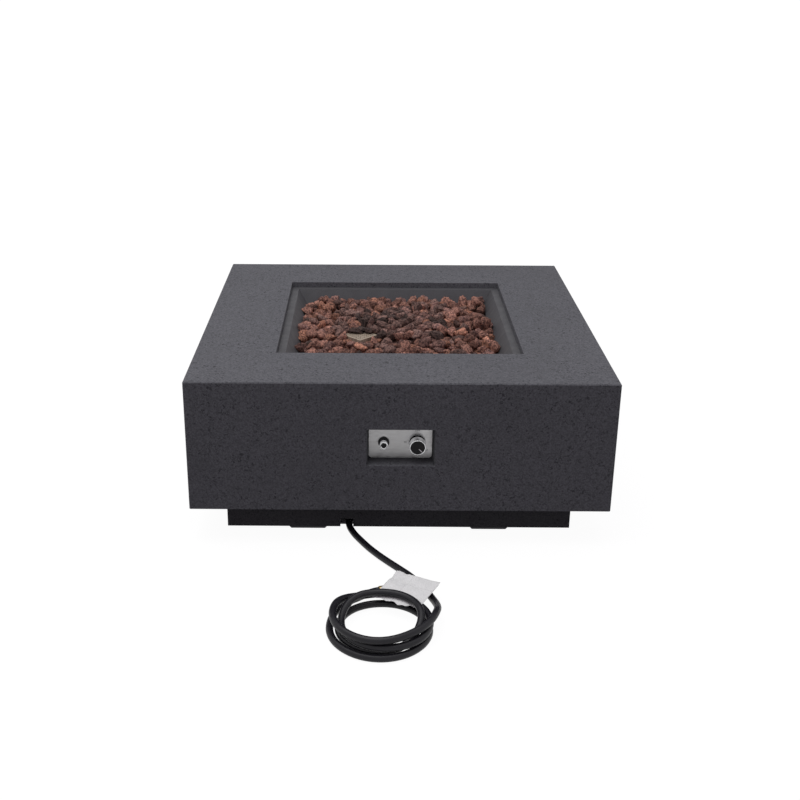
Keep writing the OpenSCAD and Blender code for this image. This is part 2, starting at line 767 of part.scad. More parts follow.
module igniter_guard() color(steel) at_pilot([0, 0]) rotate(45) difference() {
    columns = floor((guard_w - 2 * mesh_pitch) / mesh_pitch) + 1;
    rows = floor((guard_h - 2 * mesh_pitch) / mesh_pitch / 2);
    slab(guard_w, 0, guard_h);
    slab(guard_w - 2 * guard_t, -eps, guard_h - guard_t);
    mesh_row(columns) rotate(90) mesh_row(columns) translate([0, 0, guard_h - 2 * guard_t])
        cylinder(d = mesh_hole_d, h = 3 * guard_t, $fn = 16);
    for (turn = [0, 90], i = [0 : rows - 1]) rotate(turn) mesh_row(columns)
        translate([0, 0, guard_h - (i + 1.5) * mesh_pitch]) rotate([90, 0, 0])
            cylinder(d = mesh_hole_d, h = guard_w + 2 * eps, center = true, $fn = 16);
}

module at_pilot(p) translate([guard_pos[0] + p[0], guard_pos[1] + p[1], z_floor]) children();

module pilot_bracket() color(zinc) difference() {
    at_pilot([0, 0]) rotate(45) translate([-pilot_plate[0] / 2, -pilot_plate[1] / 2, 0]) cube(pilot_plate);
    at_pilot(electrode_pos) translate([0, 0, -eps])
        cylinder(r = electrode_r + screw_gap, h = pilot_plate[2] + 2 * eps);
    at_pilot(thermo_pos) translate([0, 0, -eps])
        cylinder(r = thermo_r + screw_gap, h = pilot_plate[2] + 2 * eps);
    at_pilot([0, 0]) pilot_screw_places() translate([0, 0, -eps])
        cylinder(r = pilot_screw_r + screw_gap, h = pilot_plate[2] + 2 * eps);
}

module pilot_screws() color(zinc) at_pilot([0, 0]) pilot_screw_places() {
    translate([0, 0, -pan_t - nut_t]) cylinder(r = pilot_screw_r, h = pan_t + nut_t + pilot_plate[2] + eps);
    translate([0, 0, pilot_plate[2]]) cylinder(r = head_k * pilot_screw_r, h = pilot_screw_r);
}

module probe(r, length) {
    translate([0, 0, -pilot_drop]) cylinder(r = r, h = length);
    translate([0, 0, pilot_plate[2]]) cylinder(r = r + collar_extra, h = collar_t);
}

module electrode() color(white) at_pilot(electrode_pos) probe(electrode_r, electrode_l);

module electrode_tip() color(steel) at_pilot(electrode_pos) translate([0, 0, electrode_l - pilot_drop])
    cylinder(r = tip_r, h = tip_l);

module thermocouple() color(copper) at_pilot(thermo_pos) probe(thermo_r, thermo_l);

// A lead from a point at the controls back under the pan and up to the pilot group
function lead_path(from, to, sag) = concat([from], [for (f = [0.1 : 0.1 : 0.9])
    let (g = ease(f)) [from[0] + (to[0] - from[0]) * g, from[1] + (to[1] - from[1]) * f * (2 - f),
        from[2] + (to[2] - from[2]) * pow(f, lead_climb) - sag * sin(180 * f)]], [to]);

thermo_end = [guard_pos[0] + thermo_pos[0], guard_pos[1] + thermo_pos[1], z_floor - pilot_drop];
electrode_end = [guard_pos[0] + electrode_pos[0], guard_pos[1] + electrode_pos[1], z_floor - pilot_drop];
thermo_start = [control_x, y_magnet + thermo_nut_l, recess_z];
wire_start = [-control_x, y_ign + ign_flange_t + ign_barrel_l, recess_z];

module thermocouple_lead() color(copper) {
    swept_tube(lead_path(thermo_start, thermo_end, lead_sag), lead_r, 8, [0, 1, 0], [0, 0, 1], [1, 0, 0]);
    y_rod(control_x, recess_z, y_magnet, thermo_start[1], thermo_nut_r);
}

module ignition_wire() color(black)
    swept_tube(lead_path(wire_start, electrode_end, wire_sag), wire_r, 8, [0, 1, 0], [0, 0, 1], [1, 0, 0]);

// Lava rock: rough stones in two layers, kept clear of the burner and the guard
function stone_points(c, a, seed) = let (k = rands(stone_corner[0], stone_corner[1], 24, seed)) concat(
    [for (axis = [0 : 2], s = [-1, 1]) c + [for (i = [0 : 2]) i == axis ? s * a : 0]],
    [for (i = [0 : 7]) c + a * [(i % 2 == 0 ? -1 : 1) * k[3 * i],
        (floor(i / 2) % 2 == 0 ? -1 : 1) * k[3 * i + 1], (i < 4 ? -1 : 1) * k[3 * i + 2]]]);
// Corners of the six sides of a stone, each around its middle point
stone_sides = [[0, [6, 8, 12, 10]], [1, [7, 11, 13, 9]], [2, [6, 10, 11, 7]], [3, [8, 9, 13, 12]],
    [4, [6, 7, 9, 8]], [5, [10, 12, 13, 11]]];
stone_faces = [for (side = stone_sides, i = [0 : 3]) [side[0], side[1][(i + 1) % 4], side[1][i]]];

function clear_of_guard(x, y) = abs(x - guard_pos[0]) + abs(y - guard_pos[1]) > guard_keep;
function clear_of_burner(x, y, layer) = layer > 0 || norm([x, y]) > burner_keep;

module lava_rocks() color(lava) for (layer = [0, 1], i = [0 : rock_n - 1], j = [0 : rock_n - 1]) {
    x = (i - (rock_n - 1) / 2) * rock_pitch;
    y = (j - (rock_n - 1) / 2) * rock_pitch;
    z = z_floor + rock_gap + rock_a + layer * rock_layer;
    if (clear_of_guard(x, y) && clear_of_burner(x, y, layer))
        polyhedron(stone_points([x, y, z], rock_a, 1 + i + rock_n * (j + rock_n * layer)), stone_faces);
}

// Control panel and hood
module control_panel() color(steel) difference() {
    union() {
        translate([0, y_panel, recess_z]) rotate([-90, 0, 0]) linear_extrude(panel_t) union() {
            square([panel_w, panel_h - 2 * panel_corner], center = true);
            square([panel_w - 2 * panel_corner, panel_h], center = true);
            at_corners(panel_w / 2 - panel_corner, panel_h / 2 - panel_corner) circle(r = panel_corner);
        }
        panel_stud_holes(y_back - panel_t / 2, y_back + panel_stud_l, panel_stud_r);
        for (s = [-1, 1]) y_rod(control_x, recess_z + s * valve_stud_z, y_back - panel_t / 2,
            y_valve + small_nut_t + eps, panel_stud_r);
    }
    y_rod(control_x, recess_z, y_panel - eps, y_back + eps, stem_hole_r);
    y_rod(-control_x, recess_z, y_panel - eps, y_back + eps, ign_barrel_r + screw_gap);
}

module small_nut(x, z, y0) difference() {
    y_hex(x, z, y0, y0 + small_nut_t, small_nut_af);
    y_rod(x, z, y0 - eps, y0 + small_nut_t + eps, panel_stud_r + running);
}

module panel_nuts() color(zinc) for (sx = [-1, 1], sz = [-1, 1])
    small_nut(sx * panel_stud[0], recess_z + sz * panel_stud[1], y_pocket + hood_t);

module control_hood() color(zinc) difference() {
    translate([-hood_w / 2, y_pocket, recess_z - hood_h / 2]) cube([hood_w, hood_l, hood_h]);
    translate([-hood_w / 2 + hood_t, y_pocket + hood_t, recess_z - hood_h / 2 - eps])
        cube([hood_w - 2 * hood_t, hood_l, hood_h - hood_t + eps]);
    translate([-window_w / 2, y_pocket - eps, recess_z - window_h / 2])
        cube([window_w, hood_t + 2 * eps, window_h]);
    panel_stud_holes(y_pocket - eps, y_pocket + hood_t + eps, panel_stud_r + screw_gap);
}

// Gas valve with its plug, stem and knob
module valve_spacers() color(zinc) for (s = [-1, 1]) difference() {
    y_rod(control_x, recess_z + s * valve_stud_z, y_back, y_bonnet, 2 * panel_stud_r);
    y_rod(control_x, recess_z + s * valve_stud_z, y_back - eps, y_bonnet + eps, panel_stud_r + screw_gap);
}

module valve_nuts() color(zinc) for (s = [-1, 1]) small_nut(control_x, recess_z + s * valve_stud_z, y_valve);

module bonnet_screw_places() for (s = [-1, 1])
    translate([control_x + s * bonnet_screw_x, 0, recess_z + s * bonnet_screw_z]) children();

module gas_valve() color(brass) difference() {
    union() {
        y_rod(control_x, recess_z, y_valve, y_valve + barrel_l, barrel_r);
        y_rod(control_x, recess_z, y_valve + barrel_l - eps, y_magnet, magnet_r);
        translate([control_x, y_valve + inlet_y, z_inlet]) cylinder(r = inlet_r, h = inlet_l);
        translate([control_x, y_valve + inlet_y, recess_z]) cylinder(r = riser_r, h = riser_h);
        y_rod(control_x, z_outlet, y_valve + inlet_y, y_outlet, spigot_r);
    }
    for (s = [-1, 1]) y_rod(control_x, recess_z + s * valve_stud_z, y_valve - eps, y_valve + 2 * small_nut_t,
        small_nut_af / 2 + eps);
    y_rod(control_x, recess_z, y_valve - eps, y_valve + plug_l, plug_r);
    y_rod(control_x, recess_z, y_valve, y_magnet + eps, magnet_bore_r);
    translate([control_x, y_valve + inlet_y, z_inlet - eps])
        cylinder(r = gas_bore_r, h = inlet_l + outlet_z + eps);
    y_rod(control_x, z_outlet, y_valve + inlet_y, y_outlet + eps, gas_bore_r);
    bonnet_screw_places() y_rod(0, 0, y_valve - eps, y_valve + small_screw_l, small_screw_r + running);
}

module valve_bonnet() color(zinc) difference() {
    translate([control_x - bonnet_w / 2, y_bonnet, recess_z - bonnet_h / 2])
        cube([bonnet_w, bonnet_t, bonnet_h]);
    y_rod(control_x, recess_z, y_bonnet - eps, y_valve + eps, stem_r + running);
    for (s = [-1, 1]) y_rod(control_x, recess_z + s * valve_stud_z, y_bonnet - eps, y_valve + eps,
        panel_stud_r + screw_gap);
    bonnet_screw_places() y_rod(0, 0, y_bonnet - eps, y_valve + eps, small_screw_r + screw_gap);
}

module bonnet_screws() color(zinc) bonnet_screw_places() {
    y_rod(0, 0, y_bonnet - eps, y_valve + small_screw_l - eps, small_screw_r);
    y_rod(0, 0, y_bonnet - small_screw_r, y_bonnet, head_k * small_screw_r);
}

module valve_plug() color(brass) difference() {
    y_rod(control_x, recess_z, y_valve + fit, y_valve + plug_l - fit, plug_r - running);
    y_bar(control_x, recess_z, y_valve - eps, y_valve + plug_l + eps, stem_side + 2 * running);
    translate([control_x, y_valve + inlet_y, recess_z - plug_r - eps]) cylinder(r = gas_bore_r, h = plug_r);
}

module valve_stem() color(steel) {
    y_bar(control_x, recess_z, y_web + eps, y_knob_back + eps, stem_side);
    y_rod(control_x, recess_z, y_knob_back + running, y_bonnet - knob_travel - eps, stem_r);
    y_rod(control_x, recess_z, y_collar, y_collar + collar_l, collar_r);
    y_bar(control_x, recess_z, y_bonnet - knob_travel - 2 * eps, y_valve + plug_l - eps, stem_side);
}

module stem_spring() color(steel)
    y_spring(control_x, recess_z, y_collar + collar_l, y_bonnet, collar_r - spring_wire, spring_wire,
        stem_coils);

module knob_bezel() color(chrome) difference() {
    y_rod(control_x, recess_z, y_panel - bezel_t, y_panel, bezel_r);
    y_rod(control_x, recess_z, y_panel - bezel_t - eps, y_panel + eps, bezel_r - 2 * bezel_t);
}

module knob_body() color(chrome) difference() {
    y_rod(control_x, recess_z, y_rim, y_knob_back, knob_r);
    y_rod(control_x, recess_z, y_rim - eps, y_web, knob_r - knob_rim);
    difference() {
        y_rod(control_x, recess_z, y_web + knob_web, y_knob_back + eps, knob_hollow_r);
        y_rod(control_x, recess_z, y_web, y_knob_back + 2 * eps, knob_hub_r);
    }
    y_bar(control_x, recess_z, y_web - eps, y_knob_back + eps, stem_side + 2 * running);
}

module knob_cap() color(black)
    y_rod(control_x, recess_z, y_cap_front, y_web, knob_r - knob_rim - running);

module knob_pointer() color(white) translate([control_x, y_cap_front - pointer_t, recess_z])
    rotate([0, pointer_turn, 0]) translate([-pointer_w / 2, 0, pointer_from])
        cube([pointer_w, pointer_t, pointer_l]);

// Push-button igniter
module igniter_body() color(black) difference() {
    union() {
        y_rod(-control_x, recess_z, y_ign, y_panel, ign_flange_r);
        y_rod(-control_x, recess_z, y_panel - eps, y_panel + ign_barrel_l, ign_barrel_r);
    }
    y_rod(-control_x, recess_z, y_ign - eps, y_panel + battery_l + eps, battery_r + battery_gap);
}

module igniter_nut() color(zinc) difference() {
    y_hex(-control_x, recess_z, y_back, y_back + ign_nut_t, ign_nut_af);
    y_rod(-control_x, recess_z, y_back - eps, y_back + ign_nut_t + eps, ign_barrel_r + running);
}

module igniter_cap() color(chrome) difference() {
    y_rod(-control_x, recess_z, y_ign_cap, y_ign, cap_r);
    y_rod(-control_x, recess_z, y_ign_cap - eps, y_ign + eps, button_r + running);
}

module igniter_button() color(black) y_rod(-control_x, recess_z, y_button, y_button + button_l, button_r);

module igniter_spring() color(steel)
    y_spring(-control_x, recess_z, y_button + button_l, y_panel + eps, battery_r - 2 * spring_wire,
        spring_wire, igniter_coils);

module igniter_battery() color(zinc)
    y_rod(-control_x, recess_z, y_panel + eps, y_panel + eps + battery_l, battery_r);

module igniter_terminals() color(brass) for (s = [-1, 1])
    translate([-control_x + s * terminal_x - terminal[0] / 2, y_panel + ign_barrel_l, recess_z + terminal_x])
        cube(terminal);

// Hose, its fittings and its tag
module inlet_nut() color(brass) translate([control_x, y_valve + inlet_y, z_ferrule]) difference() {
    hex(inlet_nut_af, inlet_nut_l + flare_grip);
    translate([0, 0, inlet_nut_l]) cylinder(r = inlet_r + running, h = flare_grip + eps);
    translate([0, 0, -eps]) cylinder(r = gas_bore_r, h = inlet_nut_l + 2 * eps);
}

module inlet_ferrule() color(brass) translate([control_x, y_valve + inlet_y, z_ferrule - ferrule_l])
    difference() {
        cylinder(r = ferrule_r, h = ferrule_l);
        translate([0, 0, -eps]) cylinder(r = hose_r + 2 * running, h = socket_l + eps);
        cylinder(r = gas_bore_r, h = ferrule_l + eps);
    }

lead_start = [control_x, y_valve + inlet_y, z_hose];

module hose_lead() color(black)
    swept_tube(concat([lead_start], lead_route, [coil_start]), hose_r, 10, [0, 0, -1], coil_start_dir,
        [0, 1, 0]);

module hose_coil() color(black)
    swept_tube(coil_route, hose_r, 6, coil_start_dir, coil_end_dir, [0, 0, 1]);

// Along the far end's axis, measured from where the hose enters its ferrule
module at_hose_end() translate(hose_end - end_socket_l * coil_end_dir) rotate([0, 90, end_yaw]) children();

module hose_end_fitting() color(brass) at_hose_end() difference() {
    union() {
        cylinder(r = ferrule_r, h = end_ferrule_l);
        cylinder(r = tail_r, h = end_ferrule_l + tail_l + eps);
        translate([0, 0, end_ferrule_l + tail_l]) cylinder(r1 = flare_r, r2 = flare_tip_r, h = flare_head_l);
    }
    translate([0, 0, -eps]) cylinder(r = hose_r + 2 * running, h = end_socket_l + eps);
    cylinder(r = gas_bore_r, h = end_ferrule_l + tail_l + flare_head_l + eps);
}

module hose_nut() color(brass) at_hose_end() translate([0, 0, end_nut_from]) difference() {
    hex(nut_af, end_nut_l);
    translate([0, 0, -eps]) cylinder(r = tail_r + running, h = end_nut_wall + 2 * eps);
    translate([0, 0, end_nut_wall]) cylinder(r = chamber_r, h = chamber_l + eps);
    translate([0, 0, end_nut_wall + chamber_l]) cylinder(r = thread_r, h = end_nut_l);
}

module hose_tag() color(white) translate([tag_pos[0], tag_pos[1], tag_z]) rotate([tag_tilt, 0, tag_turn])
    translate([-tag_size[0] / 2, -tag_size[1] / 2, 0]) cube([tag_size[0], tag_size[1], tag_t]);

table_body();
base_plinth();
foot_pads();
corner_brackets();
wall_screws();
base_bolts();
base_nuts();
fire_pan();
pan_rim();
heat_shield();
shield_spacers();
shield_nuts();
burner();
burner_locknut();
air_mixer();
gas_orifice();
supply_elbow();
supply_tube();
flare_nuts();
igniter_guard();
pilot_bracket();
pilot_screws();
electrode();
electrode_tip();
thermocouple();
thermocouple_lead();
ignition_wire();
lava_rocks();
control_panel();
panel_nuts();
control_hood();
valve_spacers();
valve_nuts();
gas_valve();
valve_bonnet();
bonnet_screws();
valve_plug();
valve_stem();
stem_spring();
knob_bezel();
knob_body();
knob_cap();
knob_pointer();
igniter_body();
igniter_nut();
igniter_cap();
igniter_button();
igniter_spring();
igniter_battery();
igniter_terminals();
inlet_nut();
inlet_ferrule();
hose_lead();
hose_coil();
hose_end_fitting();
hose_nut();
hose_tag();
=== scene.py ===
import json
import math
import bpy
import bmesh
import numpy as np
from mathutils import Matrix, Vector, noise


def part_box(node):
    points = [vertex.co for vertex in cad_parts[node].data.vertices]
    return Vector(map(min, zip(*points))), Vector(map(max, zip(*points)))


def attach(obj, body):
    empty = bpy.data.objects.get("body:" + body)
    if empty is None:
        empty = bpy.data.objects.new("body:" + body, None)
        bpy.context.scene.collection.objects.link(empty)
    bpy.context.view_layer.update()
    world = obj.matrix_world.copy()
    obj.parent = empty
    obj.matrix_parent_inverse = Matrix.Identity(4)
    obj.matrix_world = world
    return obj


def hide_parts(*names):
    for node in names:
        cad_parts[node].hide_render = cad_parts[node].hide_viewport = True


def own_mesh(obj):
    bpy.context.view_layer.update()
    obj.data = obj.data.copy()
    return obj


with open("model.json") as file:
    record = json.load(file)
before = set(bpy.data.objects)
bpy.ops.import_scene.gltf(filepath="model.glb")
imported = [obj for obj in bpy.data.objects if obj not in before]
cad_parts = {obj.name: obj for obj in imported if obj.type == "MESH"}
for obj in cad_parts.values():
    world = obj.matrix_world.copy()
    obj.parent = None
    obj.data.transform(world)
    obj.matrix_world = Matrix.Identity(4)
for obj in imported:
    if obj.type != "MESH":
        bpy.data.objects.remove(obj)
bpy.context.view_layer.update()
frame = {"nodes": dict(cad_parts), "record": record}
nodes = frame["nodes"]
scene = bpy.context.scene
scene.view_settings.view_transform = "Standard"
MM = 0.001


# Camera, at the photograph's place
YAW, PITCH, ROLL = (math.radians(a) for a in (-0.255, 21.127, 0.249))
CAMERA_AT = (-0.0589, -2.2351, 1.0598)
SENSOR, LENS, CLIP_END = 36, 50.06, 60
SHIFT_X, SHIFT_Y = 0.0446, -0.034


def make_camera():
    forward = Vector((math.sin(YAW) * math.cos(PITCH), math.cos(YAW) * math.cos(PITCH),
                      -math.sin(PITCH)))
    right = Vector((math.cos(YAW), -math.sin(YAW), 0))
    up = right.cross(forward)
    side = math.cos(ROLL) * right + math.sin(ROLL) * up
    head = -math.sin(ROLL) * right + math.cos(ROLL) * up
    data = bpy.data.cameras.new("camera")
    data.sensor_width = SENSOR
    data.lens = LENS
    data.shift_x = SHIFT_X
    data.shift_y = SHIFT_Y
    data.clip_end = CLIP_END
    camera = bpy.data.objects.new("camera", data)
    turn = Matrix((side, head, -forward)).transposed().to_4x4()
    camera.matrix_world = Matrix.Translation(CAMERA_AT) @ turn
    scene.collection.objects.link(camera)
    scene.camera = camera


make_camera()


# Mesh helpers
def mesh_object(name, verts, faces, smooth=True):
    mesh = bpy.data.meshes.new(name)
    mesh.from_pydata([tuple(v) for v in verts], [], [tuple(f) for f in faces])
    mesh.validate()
    if smooth:
        mesh.shade_smooth()
    obj = bpy.data.objects.new(name, mesh)
    scene.collection.objects.link(obj)
    return obj


def ring_faces(rings, sides):
    """Faces between closed rings of points that follow each other."""
    faces = []
    for first in range(0, (rings - 1) * sides, sides):
        second = first + sides
        for j in range(sides):
            k = (j + 1) % sides
            faces.append((first + j, first + k, second + k, second + j))
    return faces


def unit(v):
    return v / np.linalg.norm(v)


def tube_mesh(path, radius, sides, ref):
    """Rings square to the path, carried along it without twist, and a cap on each end."""
    tangents = np.gradient(path, axis=0)
    tangents /= np.linalg.norm(tangents, axis=1)[:, None]
    angles = np.arange(sides) * 2 * math.pi / sides
    normal = np.array(ref, float)
    verts = []
    for point, tangent in zip(path, tangents):
        normal = unit(normal - normal.dot(tangent) * tangent)
        cross = np.cross(tangent, normal)
        verts += [point + radius * (math.cos(a) * normal + math.sin(a) * cross) for a in angles]
    rings = len(path)
    faces = ring_faces(rings, sides)
    faces += [tuple(range(sides - 1, -1, -1)), tuple(range((rings - 1) * sides, rings * sides))]
    return verts, faces


# Gas hose: the route of the CAD part, in millimetres, drawn as one smooth tube
HOSE_D, HOSE_SIDES = 12.5, 24
# From the valve's inlet to the floor and out to the coil, drawn at every LEAD_STEP
LEAD = np.array([
    (31, -300, 138.75), (31, -300, 120), (28, -294, 95), (18, -281, 73), (-2, -266, 54),
    (-28, -256, 41), (-54, -256, 32), (-78, -267, 25), (-93, -289, 19.5), (-97, -316, 13.4),
    (-94, -342, 10.5), (-85, -366, 8.5), (-72, -389, 6.8), (-57, -415, 6.4), (-40.5, -440, 6.4),
    (-22.5, -464, 6.4), (-4, -487.5, 6.6), (14, -512, 7.4), (28, -537, 9), (38, -560.5, 11.8)],
    float)
LEAD_DOWN, LEAD_STEP = np.array([0, 0, -1.0]), 5.0
# Coil: its middle and radius, the angle it starts at, how far it turns, degrees between points
COIL_X, COIL_Y, COIL_R = -39, -672, 70
COIL_FROM, COIL_TURN, COIL_DRAWN = 41, 1390, 3.0
# How far it runs outside its radius, at every eighth of a turn from just before its start
WANDER = [0, 0, 3, 10.8, 9.5, 7.5, 7, 7, 9, 13, 14, 8.8, 0.5, -7.2, -8.6, -10, -5.5, -1.5, -1.5,
          0.5, -0.5, -2, -2.5, -1, 5, 12, 15.5, 17.5, 15, 12.4, 10.5, 3.7, 0]
WANDER_BEFORE, WANDER_EVERY = 4, 45
# How far its start and its end swing out, and over how many degrees
START_SWING, START_SPAN, END_SWING, END_SPAN = 48, 130, 28, 95
# Height of a level, the first level, and the changes: from which angle, over how many degrees,
# by how many levels; then the height of the hose's end and the degrees of its rise
COIL_STEP, FIRST_LEVEL = 14.1, 0.6
LEVELS = ((0, 45, 1.4), (235, 60, -1), (560, 85, 1), (740, 100, -2))
END_Z, END_RISE = 11.3, 25


def ease(t):
    c = min(max(t, 0.0), 1.0)
    return c * c * (3 - 2 * c)


def coil_point(u):
    """The middle of the hose after u degrees of the coil."""
    i, f = divmod((u + WANDER_BEFORE) / WANDER_EVERY, 1)
    a, b, c, d = (WANDER[min(max(int(i) + k, 0), len(WANDER) - 1)] for k in (-1, 0, 1, 2))
    bend = a - 2.5 * b + 2 * c - d / 2 + f * (1.5 * (b - c) + (d - a) / 2)
    radius = COIL_R + b + f * ((c - a) / 2 + f * bend)
    radius += (START_SWING * max(1 - u / START_SPAN, 0) ** 2
               + END_SWING * max((u - COIL_TURN + END_SPAN) / END_SPAN, 0) ** 2)
    level = FIRST_LEVEL + sum(step * ease((u - start) / width) for start, width, step in LEVELS)
    rise = (END_Z - HOSE_D / 2) * ease((u - COIL_TURN + END_RISE) / END_RISE)
    z = HOSE_D / 2 + COIL_STEP * level + rise
    angle = math.radians(COIL_FROM - u)
    return np.array([COIL_X + radius * math.cos(angle), COIL_Y + radius * math.sin(angle), z])


def smooth_route(points, first, last, step):
    """A cubic curve through the points, with given directions at its ends."""
    t = np.concatenate([[0], np.cumsum(np.linalg.norm(np.diff(points, axis=0), axis=1))])
    slopes = np.zeros_like(points)
    slopes[1:-1] = (points[2:] - points[:-2]) / (t[2:] - t[:-2])[:, None]
    slopes[0], slopes[-1] = first, last
    route = []
    for s in np.arange(0, t[-1], step):
        i = min(np.searchsorted(t, s, side="right") - 1, len(t) - 2)
        h = t[i + 1] - t[i]
        x = (s - t[i]) / h
        route.append((1 + 2 * x) * (1 - x) ** 2 * points[i] + x * (1 - x) ** 2 * h * slopes[i]
                     + x * x * (3 - 2 * x) * points[i + 1] + x * x * (x - 1) * h * slopes[i + 1])
    return route


def hose_path():
    """The middle of the whole hose, in metres, from the valve's inlet to its end."""
    start_dir = unit(coil_point(1) - coil_point(0))
    end_dir = coil_point(COIL_TURN) - coil_point(COIL_TURN - 2)
    end_dir = unit(end_dir * (1, 1, 0))
    start = coil_point(0) - HOSE_D * start_dir
    end = np.array([*coil_point(COIL_TURN)[:2], END_Z])
    lead = smooth_route(np.vstack([LEAD, start]), LEAD_DOWN, start_dir, LEAD_STEP)
    coil = [coil_point(u) for u in np.arange(0, COIL_TURN, COIL_DRAWN)]
    return np.array(lead + [start] + coil + [end, end + HOSE_D * end_dir]) * MM


hose_route = hose_path()
hose = mesh_object("gas_hose", *tube_mesh(hose_route, HOSE_D / 2 * MM, HOSE_SIDES, (0, 1, 0)))
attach(hose, "table")
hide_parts("hose_lead", "hose_coil")


# Blank hose tag: a creased sheet between two strands of the coil, in millimetres
TAG_W, TAG_L, TAG_T = 84.0, 92.0, 0.4
TAG_AT = np.array([8, -593, 27.35])
TAG_TURN, TAG_TILT = math.radians(-28), math.radians(1)
TAG_STEP = 2.0
FOLD_WIDTH, FOLD_HEIGHT, CRUMPLE_HEIGHT = 26, 2.4, 1.3
# The torn end: where it begins, over what length it sets in, how far it is cut back and waves
TORN_FROM, TORN_SPAN, TORN_BACK, TORN_WAVE = -26, 20, 3.0, 9.0
# Distance kept from the hose's middle, and where the sheet begins to wave and waves in full
STRAND_ROOM, STILL_UNTIL, WAVE_SPAN = HOSE_D / 2 + 0.6, 7, 16


def tag_wave(a, b):
    """Height of the creased sheet over its flat place."""
    p = Vector((a / FOLD_WIDTH, b / FOLD_WIDTH, 3.7))
    folds = 1 - 2 * abs(noise.noise(p)) - 0.55
    crumple = 1 - 2 * abs(noise.noise(p * 2.3 + Vector((7, 1, 0)))) - 0.5
    curl = 2.5 * max((b - 26) / 20, 0) ** 2 + 1.5 * max((a - 28) / 14, 0) ** 2 - 2.2 * ease(b / 30)
    return FOLD_HEIGHT * folds + CRUMPLE_HEIGHT * crumple + curl


def tag_point(a, b, turn, strand):
    """Where a point of the sheet lies, clear of the strands over it and under it."""
    torn = ease((TORN_FROM - b) / TORN_SPAN)
    b += torn * (TORN_BACK + TORN_WAVE * noise.noise(Vector((a / 11, 0.5, 8.1))))
    flat = np.array(turn @ Vector((a, b, 0))) + TAG_AT
    gap = np.linalg.norm(strand[:, :2] - flat[:2], axis=1)
    free = ease((gap.min() - STILL_UNTIL) / WAVE_SPAN)
    point = flat + np.array([0, 0, tag_wave(a, b) * free])
    for k in np.nonzero(gap < STRAND_ROOM)[0]:
        room = math.sqrt(STRAND_ROOM ** 2 - gap[k] ** 2)
        if strand[k, 2] > flat[2]:
            point[2] = min(point[2], strand[k, 2] - room - TAG_T)
        else:
            point[2] = max(point[2], strand[k, 2] + room)
    return point


def make_tag():
    columns, rows = int(TAG_W / TAG_STEP) + 1, int(TAG_L / TAG_STEP) + 1
    turn = Matrix.Rotation(TAG_TURN, 3, "Z") @ Matrix.Rotation(TAG_TILT, 3, "X")
    strand = hose_route / MM
    verts = [tag_point(-TAG_W / 2 + i * TAG_STEP, -TAG_L / 2 + j * TAG_STEP, turn, strand) * MM
             for j in range(rows) for i in range(columns)]
    corners = [j * columns + i for j in range(rows - 1) for i in range(columns - 1)]
    faces = [(c, c + 1, c + columns + 1, c + columns) for c in corners]
    tag = mesh_object("blank_tag", verts, faces)
    thick = tag.modifiers.new("thickness", "SOLIDIFY")
    thick.thickness = TAG_T * MM
    thick.offset = 1
    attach(tag, "table")
    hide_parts("hose_tag")
    return tag


tag = make_tag()


# Lava rock: stones dropped into the pan and pushed apart until they lie on each other, in metres.
# The first UNDER of them are the large ones underneath: pairs are for these and for the others.
STONES, UNDER = 2230, 260
SIZES = (0.0155, 0.0190), (0.0066, 0.0122)
DROP_HEIGHTS, DROP_HALF = ((0.25, 0.44), (0.46, 1.04)), 0.18
# Pan, burner and guard, which the stones keep clear of
PAN_FLOOR, WELL_TOP, MOUTH_TOP = 0.2365, 0.2865, 0.3165
WELL_HALF, MOUTH_HALF = 0.201, 0.221
BURNER_Z, RING_R, RING_TUBE, HUB_R, HUB_TOP = 0.2585, 0.066, 0.0095, 0.022, 0.2685
guard_low, guard_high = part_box("igniter_guard")
GUARD_AT = np.array([(guard_low.x + guard_high.x) / 2, (guard_low.y + guard_high.y) / 2])
GUARD_REACH = (guard_high.x - guard_low.x) / 2
GUARD_TOP = guard_high.z
# The place before the guard where stones lie low: half width, length, how far over its top
FRONT_HALF, FRONT_LENGTH, FRONT_OVER = 0.03, 0.065, 0.003
# Tops of the large stones, of the heap with its slope to the back, and of any stone's tip
UNDER_TOP, HIGHEST, SLANT, ROCK_TOP = 0.288, 0.3205, 0.015, 0.3265
# Steps in all, of the fast fall and before UNDER_TOP counts; the fall in a step, fast and slow
STEPS, FAST_STEPS, UNDER_STEPS = 480, 390, 200
FAST_FALL, SLOW_FALL = 0.0019, 0.0003
# Neighbours are looked for every few steps, a little past touch
LOOK_EVERY, LOOK_PAST = 6, 0.014
# Shares of a stone's size: to its neighbour, upwards and sideways
TOUCH, UPRIGHT, SIDEWAYS = 0.93, 0.8, 0.9
PUSH, TINY = 0.3, 1e-9


def pan_half(z):
    slope = np.clip((z - WELL_TOP) / (MOUTH_TOP - WELL_TOP), 0, 1)
    return WELL_HALF + (MOUTH_HALF - WELL_HALF) * slope


def clear_burner(at, size):
    rho = np.hypot(at[:, 0], at[:, 1]) + TINY
    out, rise = rho - RING_R, at[:, 2] - BURNER_Z
    away = np.hypot(out, rise) + TINY
    more = np.maximum(RING_TUBE + 0.85 * size - away, 0) / away
    at[:, :2] += at[:, :2] * (out * more / rho)[:, None]
    at[:, 2] += rise * more
    over_hub = (rho < HUB_R + 0.5 * size) & (at[:, 2] < HUB_TOP + UPRIGHT * size)
    at[over_hub, 2] = HUB_TOP + UPRIGHT * size[over_hub]


